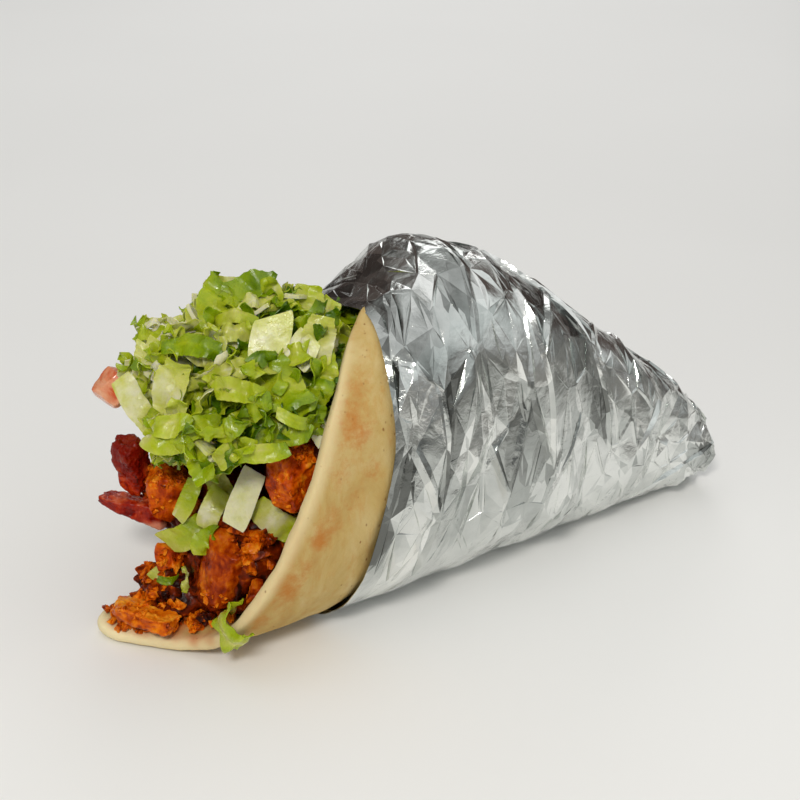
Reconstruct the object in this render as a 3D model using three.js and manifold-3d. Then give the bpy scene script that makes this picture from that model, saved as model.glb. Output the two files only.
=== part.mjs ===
// Chicken gyro: a soft pita rolled round spiced chicken and shredded lettuce, held in kitchen foil.
// Millimetres, +Z up. The wrap lies on its side, with its mouth towards -X and its tail towards +X.
// Angles round the wrap start at the underside, positive towards +Y and negative towards -Y.
import * as THREE from "three";
import { ImprovedNoise } from "three/addons/math/ImprovedNoise.js";
import { mergeVertices } from "three/addons/utils/BufferGeometryUtils.js";
import Module from "manifold-3d";

const wasm = await Module();
wasm.setup();
const { degToRad, lerp, radToDeg, seededRandom, smoothstep } = THREE.MathUtils;
const noise = new ImprovedNoise();

// Driving dimensions of the wrap: half its width and its height at places along it
const WRAP_STATIONS = [
  { x: -106, halfWidth: 43, top: 92 },
  { x: -46, halfWidth: 41.5, top: 91 },
  { x: -25, halfWidth: 41, top: 97 },
  { x: 5, halfWidth: 37.5, top: 100.5 },
  { x: 35, halfWidth: 32.5, top: 83.5 },
  { x: 65, halfWidth: 26, top: 60 },
  { x: 92, halfWidth: 18.5, top: 35.5 },
  { x: 104, halfWidth: 15, top: 25 },
];
const SECTION_POWER = 2.25; // 2 is an ellipse, more is boxier
const LEAN = 6; // how far the top stands over towards the near side
const FLATTENED = 1; // how far the weight of the wrap flattens its underside
const GAP = 0.6; // between the foil, the bread and the filling

// The foil sleeve
const FOIL_WALL = 0.6;
const FOIL_CREASE = 2.6; // height of the tallest crease
const FOIL_MOUTH_BOTTOM_X = -48;
const FOIL_MOUTH_TOP_X = -29;
const FOIL_TAIL_X = 100.5;
const FOIL_TAIL_TUCK = { length: 2, share: 0.72, height: 11 };
const FOIL_PLUG_X = 87; // beyond here the tail is nothing but crushed foil
const FOIL_SIDES = 46;
const FOIL_OUTSIDE_STEPS = 24;
const FOIL_INSIDE_STEPS = 13;
const FOIL_SPACE_STEPS = 14;
const FAR_SAG = { depth: 4, length: 22, from: degToRad(115), full: degToRad(140), to: degToRad(180) };

// The pita
const PITA_THICKNESS = 6.2;
const PITA_TAIL_X = 83;
const PITA_CLEARANCE = 0.8; // from the bread to the filling
const PITA_EDGE = 0.5; // thickness left at the very edge of the rounded rim
const PITA_GIRTH = 48; // bread for each radian round the mouth, near enough
const PITA_NEAR_ANGLE = degToRad(-170);
const PITA_FAR_ANGLE = degToRad(112);
const PITA_RIM_STEPS = [0.9, 2.2, 4.2]; // where the rounding of the rim has points
const PITA_RIM_WIDTH = 8;
const PITA_ROWS = 11;
const PITA_COLUMNS = { near: 8, front: 15, far: 5 };
const PITA_FRONT = { near: degToRad(-44), far: degToRad(34) }; // the part round the lip, with finer columns
// Place of the rim, and how far it draws back for each mm above a height
const NEAR_RIM = { x: -80, height: 16, slope: 0.5, bend: 0.022, bendHeight: 72 };
const FAR_RIM = { x: -72, slope: 0.2 };
const RIM_TURN = { from: degToRad(16), to: degToRad(29) }; // where the near rim gives way to the far one
const LIP = { reach: 24.7, angle: degToRad(9), spread: degToRad(29) };

// The filling
const FILLING_TAIL_X = 66;
const FILLING_MOUTH_X = -52;
const CHICKEN_LEVEL = 53; // where the chicken ends and the lettuce begins, half way across
const LEVEL_TILT = degToRad(22); // the chicken stands higher on the near side
const LETTUCE_MOUND = { centre: [-51, 3, 65], radii: [39, 36, 30] };
const MOUND_DETAIL = 3;
const FILLING_SIDES = 18;
const FILLING_STEPS = 8;
// Heaps of smaller chicken, with the size of the pieces that show on them
const CHICKEN_MOUNDS = [
  { centre: [-64, -4, 16], radii: [16, 25, 25], crumb: [6, 10] },
  { centre: [-64, 18, 32], radii: [17, 16, 19], crumb: [6, 10] },
  { centre: [-82, 3, 8], radii: [10.5, 11.5, 8.5], crumb: [4, 7] },
];

// Chicken pieces large enough to pick out: centre, size and turn in degrees
const CHICKEN_PIECES = [
  { name: "chicken_charred", centre: [-84.8, 24, 43], size: [10.5, 10.5, 20], turn: [12, -14, 20] },
  { name: "chicken_slice", centre: [-85.7, 21.5, 28.4], size: [22, 10, 7], turn: [0, 18, -37] },
  { name: "chicken_left", centre: [-79.4, 9, 39], size: [15, 14, 16], turn: [10, 25, -20] },
  { name: "chicken_right", centre: [-56.3, -24, 55], size: [15, 13, 21], turn: [-8, 18, 10] },
  { name: "chicken_large", centre: [-70.8, -12, 22.5], size: [17, 16, 24], turn: [6, 14, 24] },
  { name: "chicken_small", centre: [-82.5, 5.5, 20], size: [7.5, 7.5, 8.5], turn: [0, 20, 40] },
  { name: "chicken_strip", centre: [-94.6, -4.2, 10.2], size: [23, 10, 5.6], turn: [0, 3, -58] },
  { name: "chicken_edge", centre: [-70.5, -25, 20.5], size: [7, 5, 11], turn: [30, 0, 8] },
];
const TOMATO_PIECE = {
  name: "tomato_dice",
  centre: [-88, 26, 67.5],
  size: [10, 9, 11.5],
  turn: [15, 10, 25],
};
const PIECE_DETAIL = 2;
const CRUMB_DETAIL = 1;
const PIECE_SEED_STEP = 3.7;
const TOMATO_SEED = 51;
const CHICKEN_CRUMBS = 27;

// Lettuce ribbons that hang clear of the heap: centre, length, width, turn in degrees and curl
const LEAF_THICKNESS = 1.3;
const LEAF_STEPS = { along: 5, across: 2 };
const HANGING_RIBBONS = [
  { centre: [-71, -12, 47], length: 19, width: 10, turn: [96, 8, -24], curl: 1.5 },
  { centre: [-78, -3, 47], length: 26, width: 7, turn: [70, 40, -30], curl: 4 },
  { centre: [-80, -2, 38], length: 26, width: 8, turn: [80, 78, -25], curl: 3 },
  { centre: [-62, 9, 88], length: 24, width: 13, turn: [52, -16, -32], curl: 3 },
  { centre: [-60, -9, 85], length: 18, width: 13, turn: [56, 14, -32], curl: 2 },
  { centre: [-81, 20, 66], length: 27, width: 15, turn: [75, 62, -36], curl: 4 },
];
const SCATTERED_RIBBONS = 54;
// A scrap of leaf folded over the near rim: its bend, its straight legs and how far it slants down outside
const LETTUCE_SCRAP = {
  angle: degToRad(-49),
  slant: degToRad(2),
  arc: degToRad(9),
  clearance: 1.4,
  overhang: 2,
  leg: 3.6,
  bendSteps: 6,
};

// Surface of the wrap

const profile = new THREE.CubicInterpolant(
  WRAP_STATIONS.map((station) => station.x),
  WRAP_STATIONS.flatMap((station) => [station.halfWidth, station.top]),
  2,
);

// The foil lies under the bread, which sinks to the floor once it has left the foil.
function undersideHeight(x) {
  return FOIL_WALL * smoothstep(x, FOIL_MOUTH_BOTTOM_X - 18, FOIL_MOUTH_BOTTOM_X);
}

// A point at a place along the wrap and an angle round it, drawn in from the foil's inner face by an inset.
function wrapPoint(x, angle, inset) {
  const [halfWidth, top] = profile.evaluate(x);
  const underside = undersideHeight(x) + inset;
  const low = underside - FLATTENED;
  const high = top - inset;
  const across = Math.sin(angle);
  const upward = -Math.cos(angle);
  const power = SECTION_POWER;
  const reach = (Math.abs(across) ** power + Math.abs(upward) ** power) ** (-1 / power);
  const y = (halfWidth - inset) * reach * across - LEAN * Math.max(0, reach * upward) ** 2;
  const z = (low + high) / 2 + ((high - low) / 2) * reach * upward;
  return new THREE.Vector3(x, y, Math.max(z, underside, 0));
}

function foilMouthX(angle) {
  const height = (1 - Math.cos(angle)) / 2;
  const waver = 1.2 * noise.noise(3 * angle, 4.2, 1.7);
  return lerp(FOIL_MOUTH_BOTTOM_X, FOIL_MOUTH_TOP_X, height) + waver;
}

function pitaRimX(angle) {
  const height = wrapPoint(NEAR_RIM.x, angle, 0).z;
  const above = (level) => Math.max(0, height - level);
  const lip = LIP.reach * Math.exp(-(((angle - LIP.angle) / LIP.spread) ** 2));
  const bend = NEAR_RIM.bend * above(NEAR_RIM.bendHeight) ** 2;
  const near = NEAR_RIM.x + NEAR_RIM.slope * above(NEAR_RIM.height) + bend - lip;
  const far = FAR_RIM.x + FAR_RIM.slope * height;
  return lerp(near, far, smoothstep(angle, RIM_TURN.from, RIM_TURN.to));
}

// Closed shapes

function evenSteps(from, to, count) {
  return Array.from({ length: count + 1 }, (_, step) => lerp(from, to, step / count));
}

function geometryOf(points, triangles) {
  const positions = new Float32Array(points.flatMap((p) => [p.x, p.y, p.z]));
  return new THREE.BufferGeometry()
    .setAttribute("position", new THREE.BufferAttribute(positions, 3))
    .setIndex(triangles);
}

// Rings of points, all of one count, skinned in order and closed at each end by a fan to the ring's centre.
function loft(rings) {
  const sides = rings[0].length;
  const points = rings.flat();
  const triangles = [];
  for (let ring = 0; ring + 1 < rings.length; ring++) {
    for (let side = 0; side < sides; side++) {
      const a = ring * sides + side;
      const b = ring * sides + ((side + 1) % sides);
      triangles.push(a, b, a + sides, b, b + sides, a + sides);
    }
  }
  const sumOf = (ring) => ring.reduce((sum, p) => sum.add(p), new THREE.Vector3());
  const last = (rings.length - 1) * sides;
  points.push(sumOf(rings[0]).divideScalar(sides), sumOf(rings.at(-1)).divideScalar(sides));
  for (let side = 0; side < sides; side++) {
    const next = (side + 1) % sides;
    triangles.push(points.length - 2, next, side, points.length - 1, last + side, last + next);
  }
  return geometryOf(points, triangles);
}

// Two faces, given as grids of points that pair up, with a wall all round between their edges.
function sheet(front, back) {
  const rows = front.length;
  const columns = front[0].length;
  const offset = rows * columns;
  const triangles = [];
  for (let row = 0; row + 1 < rows; row++) {
    for (let column = 0; column + 1 < columns; column++) {
      const a = row * columns + column;
      const [b, c, d] = [a + 1, a + columns, a + columns + 1];
      triangles.push(a, b, c, b, d, c);
      triangles.push(offset + a, offset + c, offset + b, offset + b, offset + c, offset + d);
    }
  }
  const edge = [];
  for (let column = 0; column < columns - 1; column++) edge.push(column);
  for (let row = 0; row < rows - 1; row++) edge.push(row * columns + columns - 1);
  for (let column = columns - 1; column > 0; column--) edge.push((rows - 1) * columns + column);
  for (let row = rows - 1; row > 0; row--) edge.push(row * columns);
  edge.forEach((a, i) => {
    const b = edge[(i + 1) % edge.length];
    triangles.push(a, offset + a, b, b, offset + a, offset + b);
  });
  return geometryOf([...front.flat(), ...back.flat()], triangles);
}

// A round body whose every point is moved by a rule that takes and returns a point of the unit sphere.
function shapedBall(detail, rule) {
  const ball = new THREE.IcosahedronGeometry(1, detail).deleteAttribute("normal").deleteAttribute("uv");
  const geometry = mergeVertices(ball);
  const points = geometry.attributes.position;
  for (let i = 0; i < points.count; i++) {
    const moved = rule(new THREE.Vector3().fromBufferAttribute(points, i));
    points.setXYZ(i, moved.x, moved.y, moved.z);
  }
  return geometry;
}

function placed(geometry, { centre, turn }) {
  const rotation = new THREE.Euler(...turn.map(degToRad));
  const matrix = new THREE.Matrix4().makeRotationFromEuler(rotation).setPosition(...centre);
  return geometry.applyMatrix4(matrix);
}

// A solid for joining and cutting. A shape whose faces point inwards is turned round.
function solidOf(geometry) {
  const bare = geometry.clone();
  bare.deleteAttribute("normal");
  bare.deleteAttribute("uv");
  const merged = mergeVertices(bare, 1e-4);
  const vertProperties = merged.attributes.position.array;
  const triVerts = new Uint32Array(merged.index.array);
  const made = new wasm.Manifold(new wasm.Mesh({ numProp: 3, vertProperties, triVerts }));
  if (made.volume() > 0) return made;
  triVerts.reverse();
  return new wasm.Manifold(new wasm.Mesh({ numProp: 3, vertProperties, triVerts }));
}

function geometryOfSolid(solid) {
  const { vertProperties, triVerts } = solid.getMesh();
  return new THREE.BufferGeometry()
    .setAttribute("position", new THREE.BufferAttribute(vertProperties, 3))
    .setIndex(new THREE.BufferAttribute(triVerts, 1));
}

function largestPiece(solid) {
  return solid.decompose().reduce((best, piece) => (piece.volume() > best.volume() ? piece : best));
}

function joined(solids) {
  return solids.reduce((sum, solid) => sum.add(solid));
}

function without(solid, cutters) {
  return cutters.reduce((rest, cutter) => rest.subtract(cutter), solid);
}

function isClear(solid, obstacles) {
  return obstacles.every((obstacle) => solid.intersect(obstacle).volume() === 0);
}

// Foil: a smooth inner face against the bread and a creased outer face

// Creases run mostly round the wrap, leaning a little towards the tail as they rise.
function creaseHeight(x, angle) {
  const round = angle * 22;
  const along = x + 0.25 * round;
  const broad = Math.abs(noise.noise(along / 21, round / 60, 0.4));
  const fine = Math.abs(noise.noise(along / 9, round / 26, 7.9));
  return FOIL_CREASE * Math.min(1, 1.3 * broad + 0.7 * fine);
}

// The far side of the mouth hangs a little, with nothing behind it.
function farSag(x, angle) {
  const nearTop = 1 - smoothstep(angle, FAR_SAG.full, FAR_SAG.to);
  const round = smoothstep(angle, FAR_SAG.from, FAR_SAG.full) * nearTop;
  return FAR_SAG.depth * round * (1 - smoothstep(x, foilMouthX(angle), foilMouthX(angle) + FAR_SAG.length));
}

// One turn of the sleeve, at a share of the way from its end to its mouth.
function foilRing(share, endX, mouthShift, inset) {
  return Array.from({ length: FOIL_SIDES }, (_, side) => {
    const angle = (2 * Math.PI * side) / FOIL_SIDES - Math.PI;
    const x = lerp(endX, foilMouthX(angle) + mouthShift, share);
    const point = wrapPoint(x, angle, inset(x, angle));
    return point.setZ(point.z - farSag(x, angle));
  });
}

function foilSleeve(outerInset, innerInset, mouthShift, steps) {
  const outside = evenSteps(0, 1, steps).map((s) => foilRing(s, FOIL_TAIL_X, mouthShift, outerInset));
  const hem = foilRing(1, FOIL_TAIL_X, mouthShift, () => innerInset - FOIL_WALL / 2);
  const inside = evenSteps(1, 0, FOIL_INSIDE_STEPS).map((s) => {
    return foilRing(s, FOIL_PLUG_X, mouthShift, () => innerInset);
  });
  const { length, share, height } = FOIL_TAIL_TUCK;
  const tuck = outside[0].map((p) => new THREE.Vector3(p.x + length, p.y * share, lerp(height, p.z, share)));
  return solidOf(loft([tuck, ...outside, hem, ...inside]));
}

// Pita: a trough of bread, thick in the middle and rounded at its rim

function roundedShare(distance) {
  const share = Math.min(1, distance / (PITA_THICKNESS * 0.6));
  return Math.sqrt(1 - (1 - share) ** 2);
}

function pitaTrough(growth) {
  const nearAngle = PITA_NEAR_ANGLE - growth / PITA_GIRTH;
  const farAngle = PITA_FAR_ANGLE + growth / PITA_GIRTH;
  const rimAngles = PITA_RIM_STEPS.map((step) => step / PITA_GIRTH);
  const rimArc = PITA_RIM_WIDTH / PITA_GIRTH;
  const angles = [
    nearAngle,
    ...rimAngles.map((angle) => nearAngle + angle),
    ...evenSteps(nearAngle + rimArc, PITA_FRONT.near, PITA_COLUMNS.near),
    ...evenSteps(PITA_FRONT.near, PITA_FRONT.far, PITA_COLUMNS.front).slice(1),
    ...evenSteps(PITA_FRONT.far, farAngle - rimArc, PITA_COLUMNS.far).slice(1),
    ...rimAngles.toReversed().map((angle) => farAngle - angle),
    farAngle,
  ];
  const middle = GAP + PITA_THICKNESS / 2;
  const pointAt = (x, angle, distance, side) => {
    const half = lerp(PITA_EDGE, PITA_THICKNESS, roundedShare(distance)) / 2 + growth;
    return wrapPoint(x, angle, middle + side * half);
  };
  const face = (side) =>
    angles.map((angle) => {
      const rimX = pitaRimX(angle) - growth;
      const fromSides = Math.min(angle - nearAngle, farAngle - angle) * PITA_GIRTH;
      const run = evenSteps(PITA_TAIL_X, rimX + PITA_RIM_WIDTH, PITA_ROWS);
      const places = [...run, ...PITA_RIM_STEPS.toReversed().map((step) => rimX + step), rimX];
      return places.map((x) => pointAt(x, angle, Math.min(x - rimX, fromSides), side));
    });
  return solidOf(sheet(face(-1), face(1)));
}

// Chicken and tomato: rounded blocks with a torn, lumpy surface

function tornBlock(size, seed, growth, detail) {
  const power = 3.4;
  const half = new THREE.Vector3(...size).multiplyScalar(0.5);
  return shapedBall(detail, (p) => {
    const powers = p.toArray().map((part) => Math.abs(part) ** power);
    const toBlock = (powers[0] + powers[1] + powers[2]) ** (-1 / power);
    const broad = 0.12 * noise.noise(p.x * 1.6 + seed, p.y * 1.6, p.z * 1.6);
    const fine = 0.06 * noise.noise(p.x * 4, p.y * 4 + seed, p.z * 4);
    const reach = half.clone().multiplyScalar(toBlock * (0.96 + broad + fine));
    return p.multiply(reach.addScalar(growth));
  });
}

function pieceSolid(piece, seed, growth, detail) {
  return solidOf(placed(tornBlock(piece.size, seed, growth, detail), piece));
}

function mound({ centre, radii }, detail) {
  const shape = shapedBall(detail, (p) => {
    const swell = 1 + 0.07 * noise.noise(p.x * 3 + centre[0], p.y * 3, p.z * 3);
    return p.multiply(new THREE.Vector3(...radii).multiplyScalar(swell));
  });
  return solidOf(placed(shape, { centre, turn: [0, 0, 0] }));
}

// A spot on a mound, the step-th of an even spread, and the direction that faces out of it there.
function spotOn({ centre, radii }, step, count) {
  const golden = Math.PI * (3 - Math.sqrt(5));
  const height = 1 - (2 * (step + 0.5)) / count;
  const radius = Math.sqrt(1 - height * height);
  const outward = new THREE.Vector3().setFromCylindricalCoords(radius, golden * step, height);
  outward.set(outward.x, outward.z, outward.y);
  const spot = outward.clone().multiply(new THREE.Vector3(...radii)).add(new THREE.Vector3(...centre));
  return { spot, outward };
}

function crumb(step) {
  const heap = CHICKEN_MOUNDS[step % CHICKEN_MOUNDS.length];
  const { spot } = spotOn(heap, step, CHICKEN_CRUMBS);
  const size = [0, 0, 0].map(() => lerp(...heap.crumb, seededRandom()));
  const turn = [0, 0, 0].map(() => 180 * seededRandom());
  return { centre: spot.toArray(), size, turn };
}

// The space below or above the slope where chicken meets lettuce.
function levelBlock(side) {
  const depth = 160;
  const block = new THREE.BoxGeometry(400, 300, depth);
  block.translate(0, 0, (side * (depth + GAP)) / 2);
  block.rotateX(-LEVEL_TILT);
  block.translate(0, 0, CHICKEN_LEVEL);
  return solidOf(block);
}

// Lettuce: wavy ribbons and scraps of leaf

function lettuceRibbon({ length, width, curl, phase = 0 }, thickness) {
  const face = (side) =>
    evenSteps(-0.5, 0.5, LEAF_STEPS.along).map((along) =>
      evenSteps(-0.5, 0.5, LEAF_STEPS.across).map((across) => {
        const bend = curl * (Math.cos(2.2 * Math.PI * along + phase) - 0.8 * Math.cos(Math.PI * across));
        const ruffle = 0.7 * Math.sin(9 * along + 5 * across + phase);
        return new THREE.Vector3(along * length, across * width, bend + ruffle + (side * thickness) / 2);
      }),
    );
  return sheet(face(1), face(-1));
}

function ribbonSolid(ribbon, growth) {
  const { length, width } = ribbon;
  const grown = { ...ribbon, length: length + 2 * growth, width: width + 2 * growth };
  return solidOf(placed(lettuceRibbon(grown, LEAF_THICKNESS + 2 * growth), ribbon));
}

// A ribbon on the mound, leaning any way but mostly flat to the surface.
function scatteredRibbon(step) {
  const { spot, outward } = spotOn(LETTUCE_MOUND, step, SCATTERED_RIBBONS);
  const lean = new THREE.Vector3(...[0, 0, 0].map(() => 0.9 * (seededRandom() - 0.5)));
  const upright = new THREE.Vector3(0, 0, 1);
  const facing = new THREE.Quaternion().setFromUnitVectors(upright, outward.add(lean).normalize());
  const spin = new THREE.Quaternion().setFromAxisAngle(upright, seededRandom() * Math.PI);
  const { x, y, z } = new THREE.Euler().setFromQuaternion(facing.multiply(spin));
  return {
    centre: spot.toArray(),
    turn: [x, y, z].map(radToDeg),
    length: lerp(17, 30, seededRandom()),
    width: lerp(6, 12, seededRandom()),
    curl: lerp(1.5, 4, seededRandom()),
    phase: 6 * seededRandom(),
  };
}

// The scrap's middle line, from the inside of the bread round its rim to the outside: how far it stands
// before the rim and how far it is drawn in from the foil's inner face.
function scrapLine() {
  const { clearance, overhang, leg, bendSteps } = LETTUCE_SCRAP;
  const reach = PITA_THICKNESS / 2 + clearance;
  const middle = GAP + PITA_THICKNESS / 2;
  const bend = evenSteps(-Math.PI / 2, Math.PI / 2, bendSteps).map((turn) => {
    return new THREE.Vector2(-overhang * Math.cos(turn), middle - reach * Math.sin(turn));
  });
  const inside = new THREE.Vector2(leg, middle + reach);
  const outside = new THREE.Vector2(leg, middle - reach);
  return [inside, ...bend, outside];
}

function lettuceScrap(growth) {
  const { angle, slant, arc } = LETTUCE_SCRAP;
  const line = scrapLine();
  const rimX = pitaRimX(angle);
  const face = (side) =>
    line.map((spot, step) => {
      const before = line[Math.max(0, step - 1)];
      const after = line[Math.min(line.length - 1, step + 1)];
      const run = after.clone().sub(before).normalize();
      const lift = side * (LEAF_THICKNESS / 2 + growth);
      const share = step / (line.length - 1) - 0.5;
      const spare = step === 0 || step === line.length - 1 ? growth : 0;
      return evenSteps(-0.5, 0.5, LEAF_STEPS.across).map((across) => {
        const turn = angle + slant * share + across * (arc + (2 * growth) / PITA_GIRTH);
        return wrapPoint(rimX + spot.x + spare - run.y * lift, turn, spot.y + run.x * lift);
      });
    });
  return solidOf(sheet(face(1), face(-1)));
}

// Assembly

const foil = foilSleeve((x, angle) => -FOIL_WALL - creaseHeight(x, angle), 0, 0, FOIL_OUTSIDE_STEPS);
const foilSpace = foilSleeve(() => -FOIL_WALL - FOIL_CREASE, GAP, -2 * GAP, FOIL_SPACE_STEPS);
const pita = pitaTrough(0);
const pitaSpace = pitaTrough(PITA_CLEARANCE);
const scrap = lettuceScrap(0);

const chickenSeed = (index) => PIECE_SEED_STEP * (index + 1);
const chicken = CHICKEN_PIECES.map((piece, index) => pieceSolid(piece, chickenSeed(index), 0, PIECE_DETAIL));
const chickenSpace = CHICKEN_PIECES.map((piece, index) => {
  return pieceSolid(piece, chickenSeed(index), GAP, PIECE_DETAIL);
});
const tomato = pieceSolid(TOMATO_PIECE, TOMATO_SEED, 0, PIECE_DETAIL);
const tomatoSpace = pieceSolid(TOMATO_PIECE, TOMATO_SEED, GAP, PIECE_DETAIL);
const toppings = [scrap, ...chicken, tomato];
const spaces = [pitaSpace, foilSpace, lettuceScrap(GAP), ...chickenSpace, tomatoSpace];

// The filling runs on inside the bread, chicken below and lettuce above.
const fillingInset = GAP + PITA_THICKNESS + 2 * GAP;
const fillingAngles = evenSteps(-Math.PI, Math.PI, FILLING_SIDES).slice(1);
const fillingRing = (x) => fillingAngles.map((angle) => wrapPoint(x, angle, fillingInset));
const fillingPlaces = evenSteps(FILLING_TAIL_X, FILLING_MOUTH_X, FILLING_STEPS);
const fillingRun = solidOf(loft(fillingPlaces.map(fillingRing)));

const lettuceCore = joined([fillingRun, mound(LETTUCE_MOUND, MOUND_DETAIL)]).intersect(levelBlock(1));
const lettuceBare = largestPiece(without(lettuceCore, spaces));

seededRandom(17);
const chickenHeap = joined([fillingRun, ...CHICKEN_MOUNDS.map((heap) => mound(heap, MOUND_DETAIL))]);
const chickenCore = chickenHeap.intersect(levelBlock(-1));
const chickenBare = largestPiece(without(chickenCore, spaces));
const crumbs = Array.from({ length: CHICKEN_CRUMBS }, (_, step) => crumb(step))
  .filter((piece) => isClear(pieceSolid(piece, 0, GAP, CRUMB_DETAIL), [pitaSpace, lettuceBare, ...toppings]))
  .map((piece) => pieceSolid(piece, 0, 0, CRUMB_DETAIL));
const chickenBed = largestPiece(joined([chickenBare, ...crumbs]));

// A ribbon joins the heap only where it is clear of the bread, the foil and the toppings.
seededRandom(41);
const scattered = Array.from({ length: SCATTERED_RIBBONS }, (_, step) => scatteredRibbon(step));
const ribbonLimits = [pitaSpace, foilSpace, chickenBed, ...toppings];
const keptRibbons = [...HANGING_RIBBONS, ...scattered]
  .filter((ribbon) => isClear(ribbonSolid(ribbon, GAP), ribbonLimits))
  .map((ribbon) => ribbonSolid(ribbon, 0));
const lettuceHeap = largestPiece(joined([lettuceBare, ...keptRibbons]));

// Colours and finishes
function finish(color, roughness, metalness = 0) {
  return new THREE.MeshStandardMaterial({ color, roughness, metalness });
}
const FOIL_FINISH = finish(0xc4c9c8, 0.28, 1);
const BREAD_FINISH = finish(0xdcc188, 0.8);
const CHICKEN_FINISH = finish(0xb8500f, 0.5);
const SAUCED_FINISH = finish(0x7a2c0a, 0.45);
const LETTUCE_FINISH = finish(0x8fb52a, 0.45);
const TOMATO_FINISH = finish(0xd9694a, 0.35);

function nodeMesh(name, solid, material) {
  const mesh = new THREE.Mesh(geometryOfSolid(solid), material);
  mesh.name = name;
  return mesh;
}

const wrap = new THREE.Group();
wrap.add(nodeMesh("foil_wrap", foil, FOIL_FINISH));
wrap.add(nodeMesh("pita", pita, BREAD_FINISH));
wrap.add(nodeMesh("chicken_bed", chickenBed, SAUCED_FINISH));
wrap.add(nodeMesh("lettuce_heap", lettuceHeap, LETTUCE_FINISH));
wrap.add(nodeMesh("lettuce_scrap", scrap, LETTUCE_FINISH));
CHICKEN_PIECES.forEach((piece, index) => wrap.add(nodeMesh(piece.name, chicken[index], CHICKEN_FINISH)));
wrap.add(nodeMesh(TOMATO_PIECE.name, tomato, TOMATO_FINISH));

// The origin is under the middle of the whole, on the surface it lies on.
const extent = new THREE.Box3().setFromObject(wrap);
const middle = extent.getCenter(new THREE.Vector3());
wrap.position.set(-middle.x, -middle.y, -extent.min.z);

const gyro = new THREE.Group();
gyro.add(wrap);

export default gyro;
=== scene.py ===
# Chicken gyro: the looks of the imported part.
# Lengths are millimetres in the wrap's own axes until a mesh is made, which is in metres in the frame.
# Angles round the wrap start at the underside, positive towards +Y and negative towards -Y.
import math
from typing import NamedTuple

import bpy
import numpy as np
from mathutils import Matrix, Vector, noise
from mathutils.bvhtree import BVHTree
from mathutils.geometry import delaunay_2d_cdt


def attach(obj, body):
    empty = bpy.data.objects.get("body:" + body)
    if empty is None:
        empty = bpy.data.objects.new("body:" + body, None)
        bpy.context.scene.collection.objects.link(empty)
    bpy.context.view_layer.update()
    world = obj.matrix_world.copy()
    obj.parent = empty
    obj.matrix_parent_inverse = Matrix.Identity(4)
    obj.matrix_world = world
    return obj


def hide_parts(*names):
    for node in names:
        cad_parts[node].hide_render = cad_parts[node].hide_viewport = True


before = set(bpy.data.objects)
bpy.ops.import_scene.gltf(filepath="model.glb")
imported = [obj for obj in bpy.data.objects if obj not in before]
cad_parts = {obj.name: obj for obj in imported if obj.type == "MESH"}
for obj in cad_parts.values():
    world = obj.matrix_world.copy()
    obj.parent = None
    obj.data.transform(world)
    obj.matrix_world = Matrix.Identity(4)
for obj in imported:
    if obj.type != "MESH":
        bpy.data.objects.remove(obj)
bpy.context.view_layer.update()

MM = 0.001
WRAP_SHIFT = np.array([1.085, 0.174, 0.0])  # from the wrap's own axes to the frame

# Camera
PHOTO_WIDTH = 800
VIEW_TARGET = np.array([-8.35, 0.0, 53.99])
VIEW_BACK = np.array([-0.4511, -0.7641, 0.4612])
VIEW_DISTANCE = 476.3
LENS = 72
SENSOR = 36

# The wrap: half its width and its height at places along it, as in the solids
STATION_X = np.array([-106, -46, -25, 5, 35, 65, 92, 104], float)
STATION_HALF_WIDTH = np.array([43, 41.5, 41, 37.5, 32.5, 26, 18.5, 15])
STATION_TOP = np.array([92, 91, 97, 100.5, 83.5, 60, 35.5, 25])
SECTION_POWER = 2.25
LEAN = 6
FLATTENED = 1
GAP = 0.6

# Foil. Its heights are shares of the way from the underside to the top.
FOIL_WALL = 0.6
FOIL_THICKNESS = 0.2
FOIL_MOUTH_BOTTOM_X = -48
FOIL_MOUTH_TOP_X = -29
FOIL_MOUTH_WAVES = ((0.9, 3, 0.6), (0.5, 7, 2.1))  # depth, number round the wrap and start
FOIL_STEP_UP = 18  # how far ahead of the foil the underside rises on to it
FOIL_TAIL_X = 100.5
SHEET_LENGTH = 140.0
SHEET_CLOSE = 14.0  # foil gathered shut at the tail
SHEET_RADIUS = 40.0
SHEET_GIRTH = 2 * math.pi * SHEET_RADIUS
SEAM_POINTS = 70
HEM_POINTS = 110
SHEET_MARGIN = 0.8  # no crease ends nearer to an edge
ABOVE_SHEET = 10.0  # where its heights are looked up from
FOIL_CREASE_DEGREES = 19
# Creases: their step along and round the wrap, the share that goes up and down by turns, and their height
FOIL_SEED = 11
FOLD_STEP = (13.0, 30.0)
FOLD_TURNS = 0.78
FOLD_HEIGHT = 2.3
FACET_STEP = (5.6, 12.0)
FACET_TURNS = 0.6
FACET_HEIGHT = 1.25
CRINKLE_STEP = (2.2, 3.0)
CRINKLE_TURNS = 0.5
CRINKLE_HEIGHT = 0.24
CREASE_SHAKE = 0.4  # how far their ends stray, as a share of a step
CREASE_DEPTHS = (0.3, 1.0)
ROWS_BEYOND = 4  # rows of creases past the ends of the sheet
STEPS_BEYOND = 2.5  # and steps past its seam
# Pinched ridges: the share of the creases that have one, their heights and their half widths
FOLD_RIDGES = {"share": 0.3, "peaks": (0.7, 1.5), "halves": (0.9, 1.7)}
FACET_RIDGES = {"share": 0.22, "peaks": (0.3, 0.8), "halves": (0.45, 0.9)}
RIDGE_MARGIN = 4  # no ridge runs nearer to an edge
RIDGE_STEEPNESS = 0.9  # least run round the wrap for the run along it
RIDGE_END = 0.08
RIDGE_TAPER = 0.6
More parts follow.
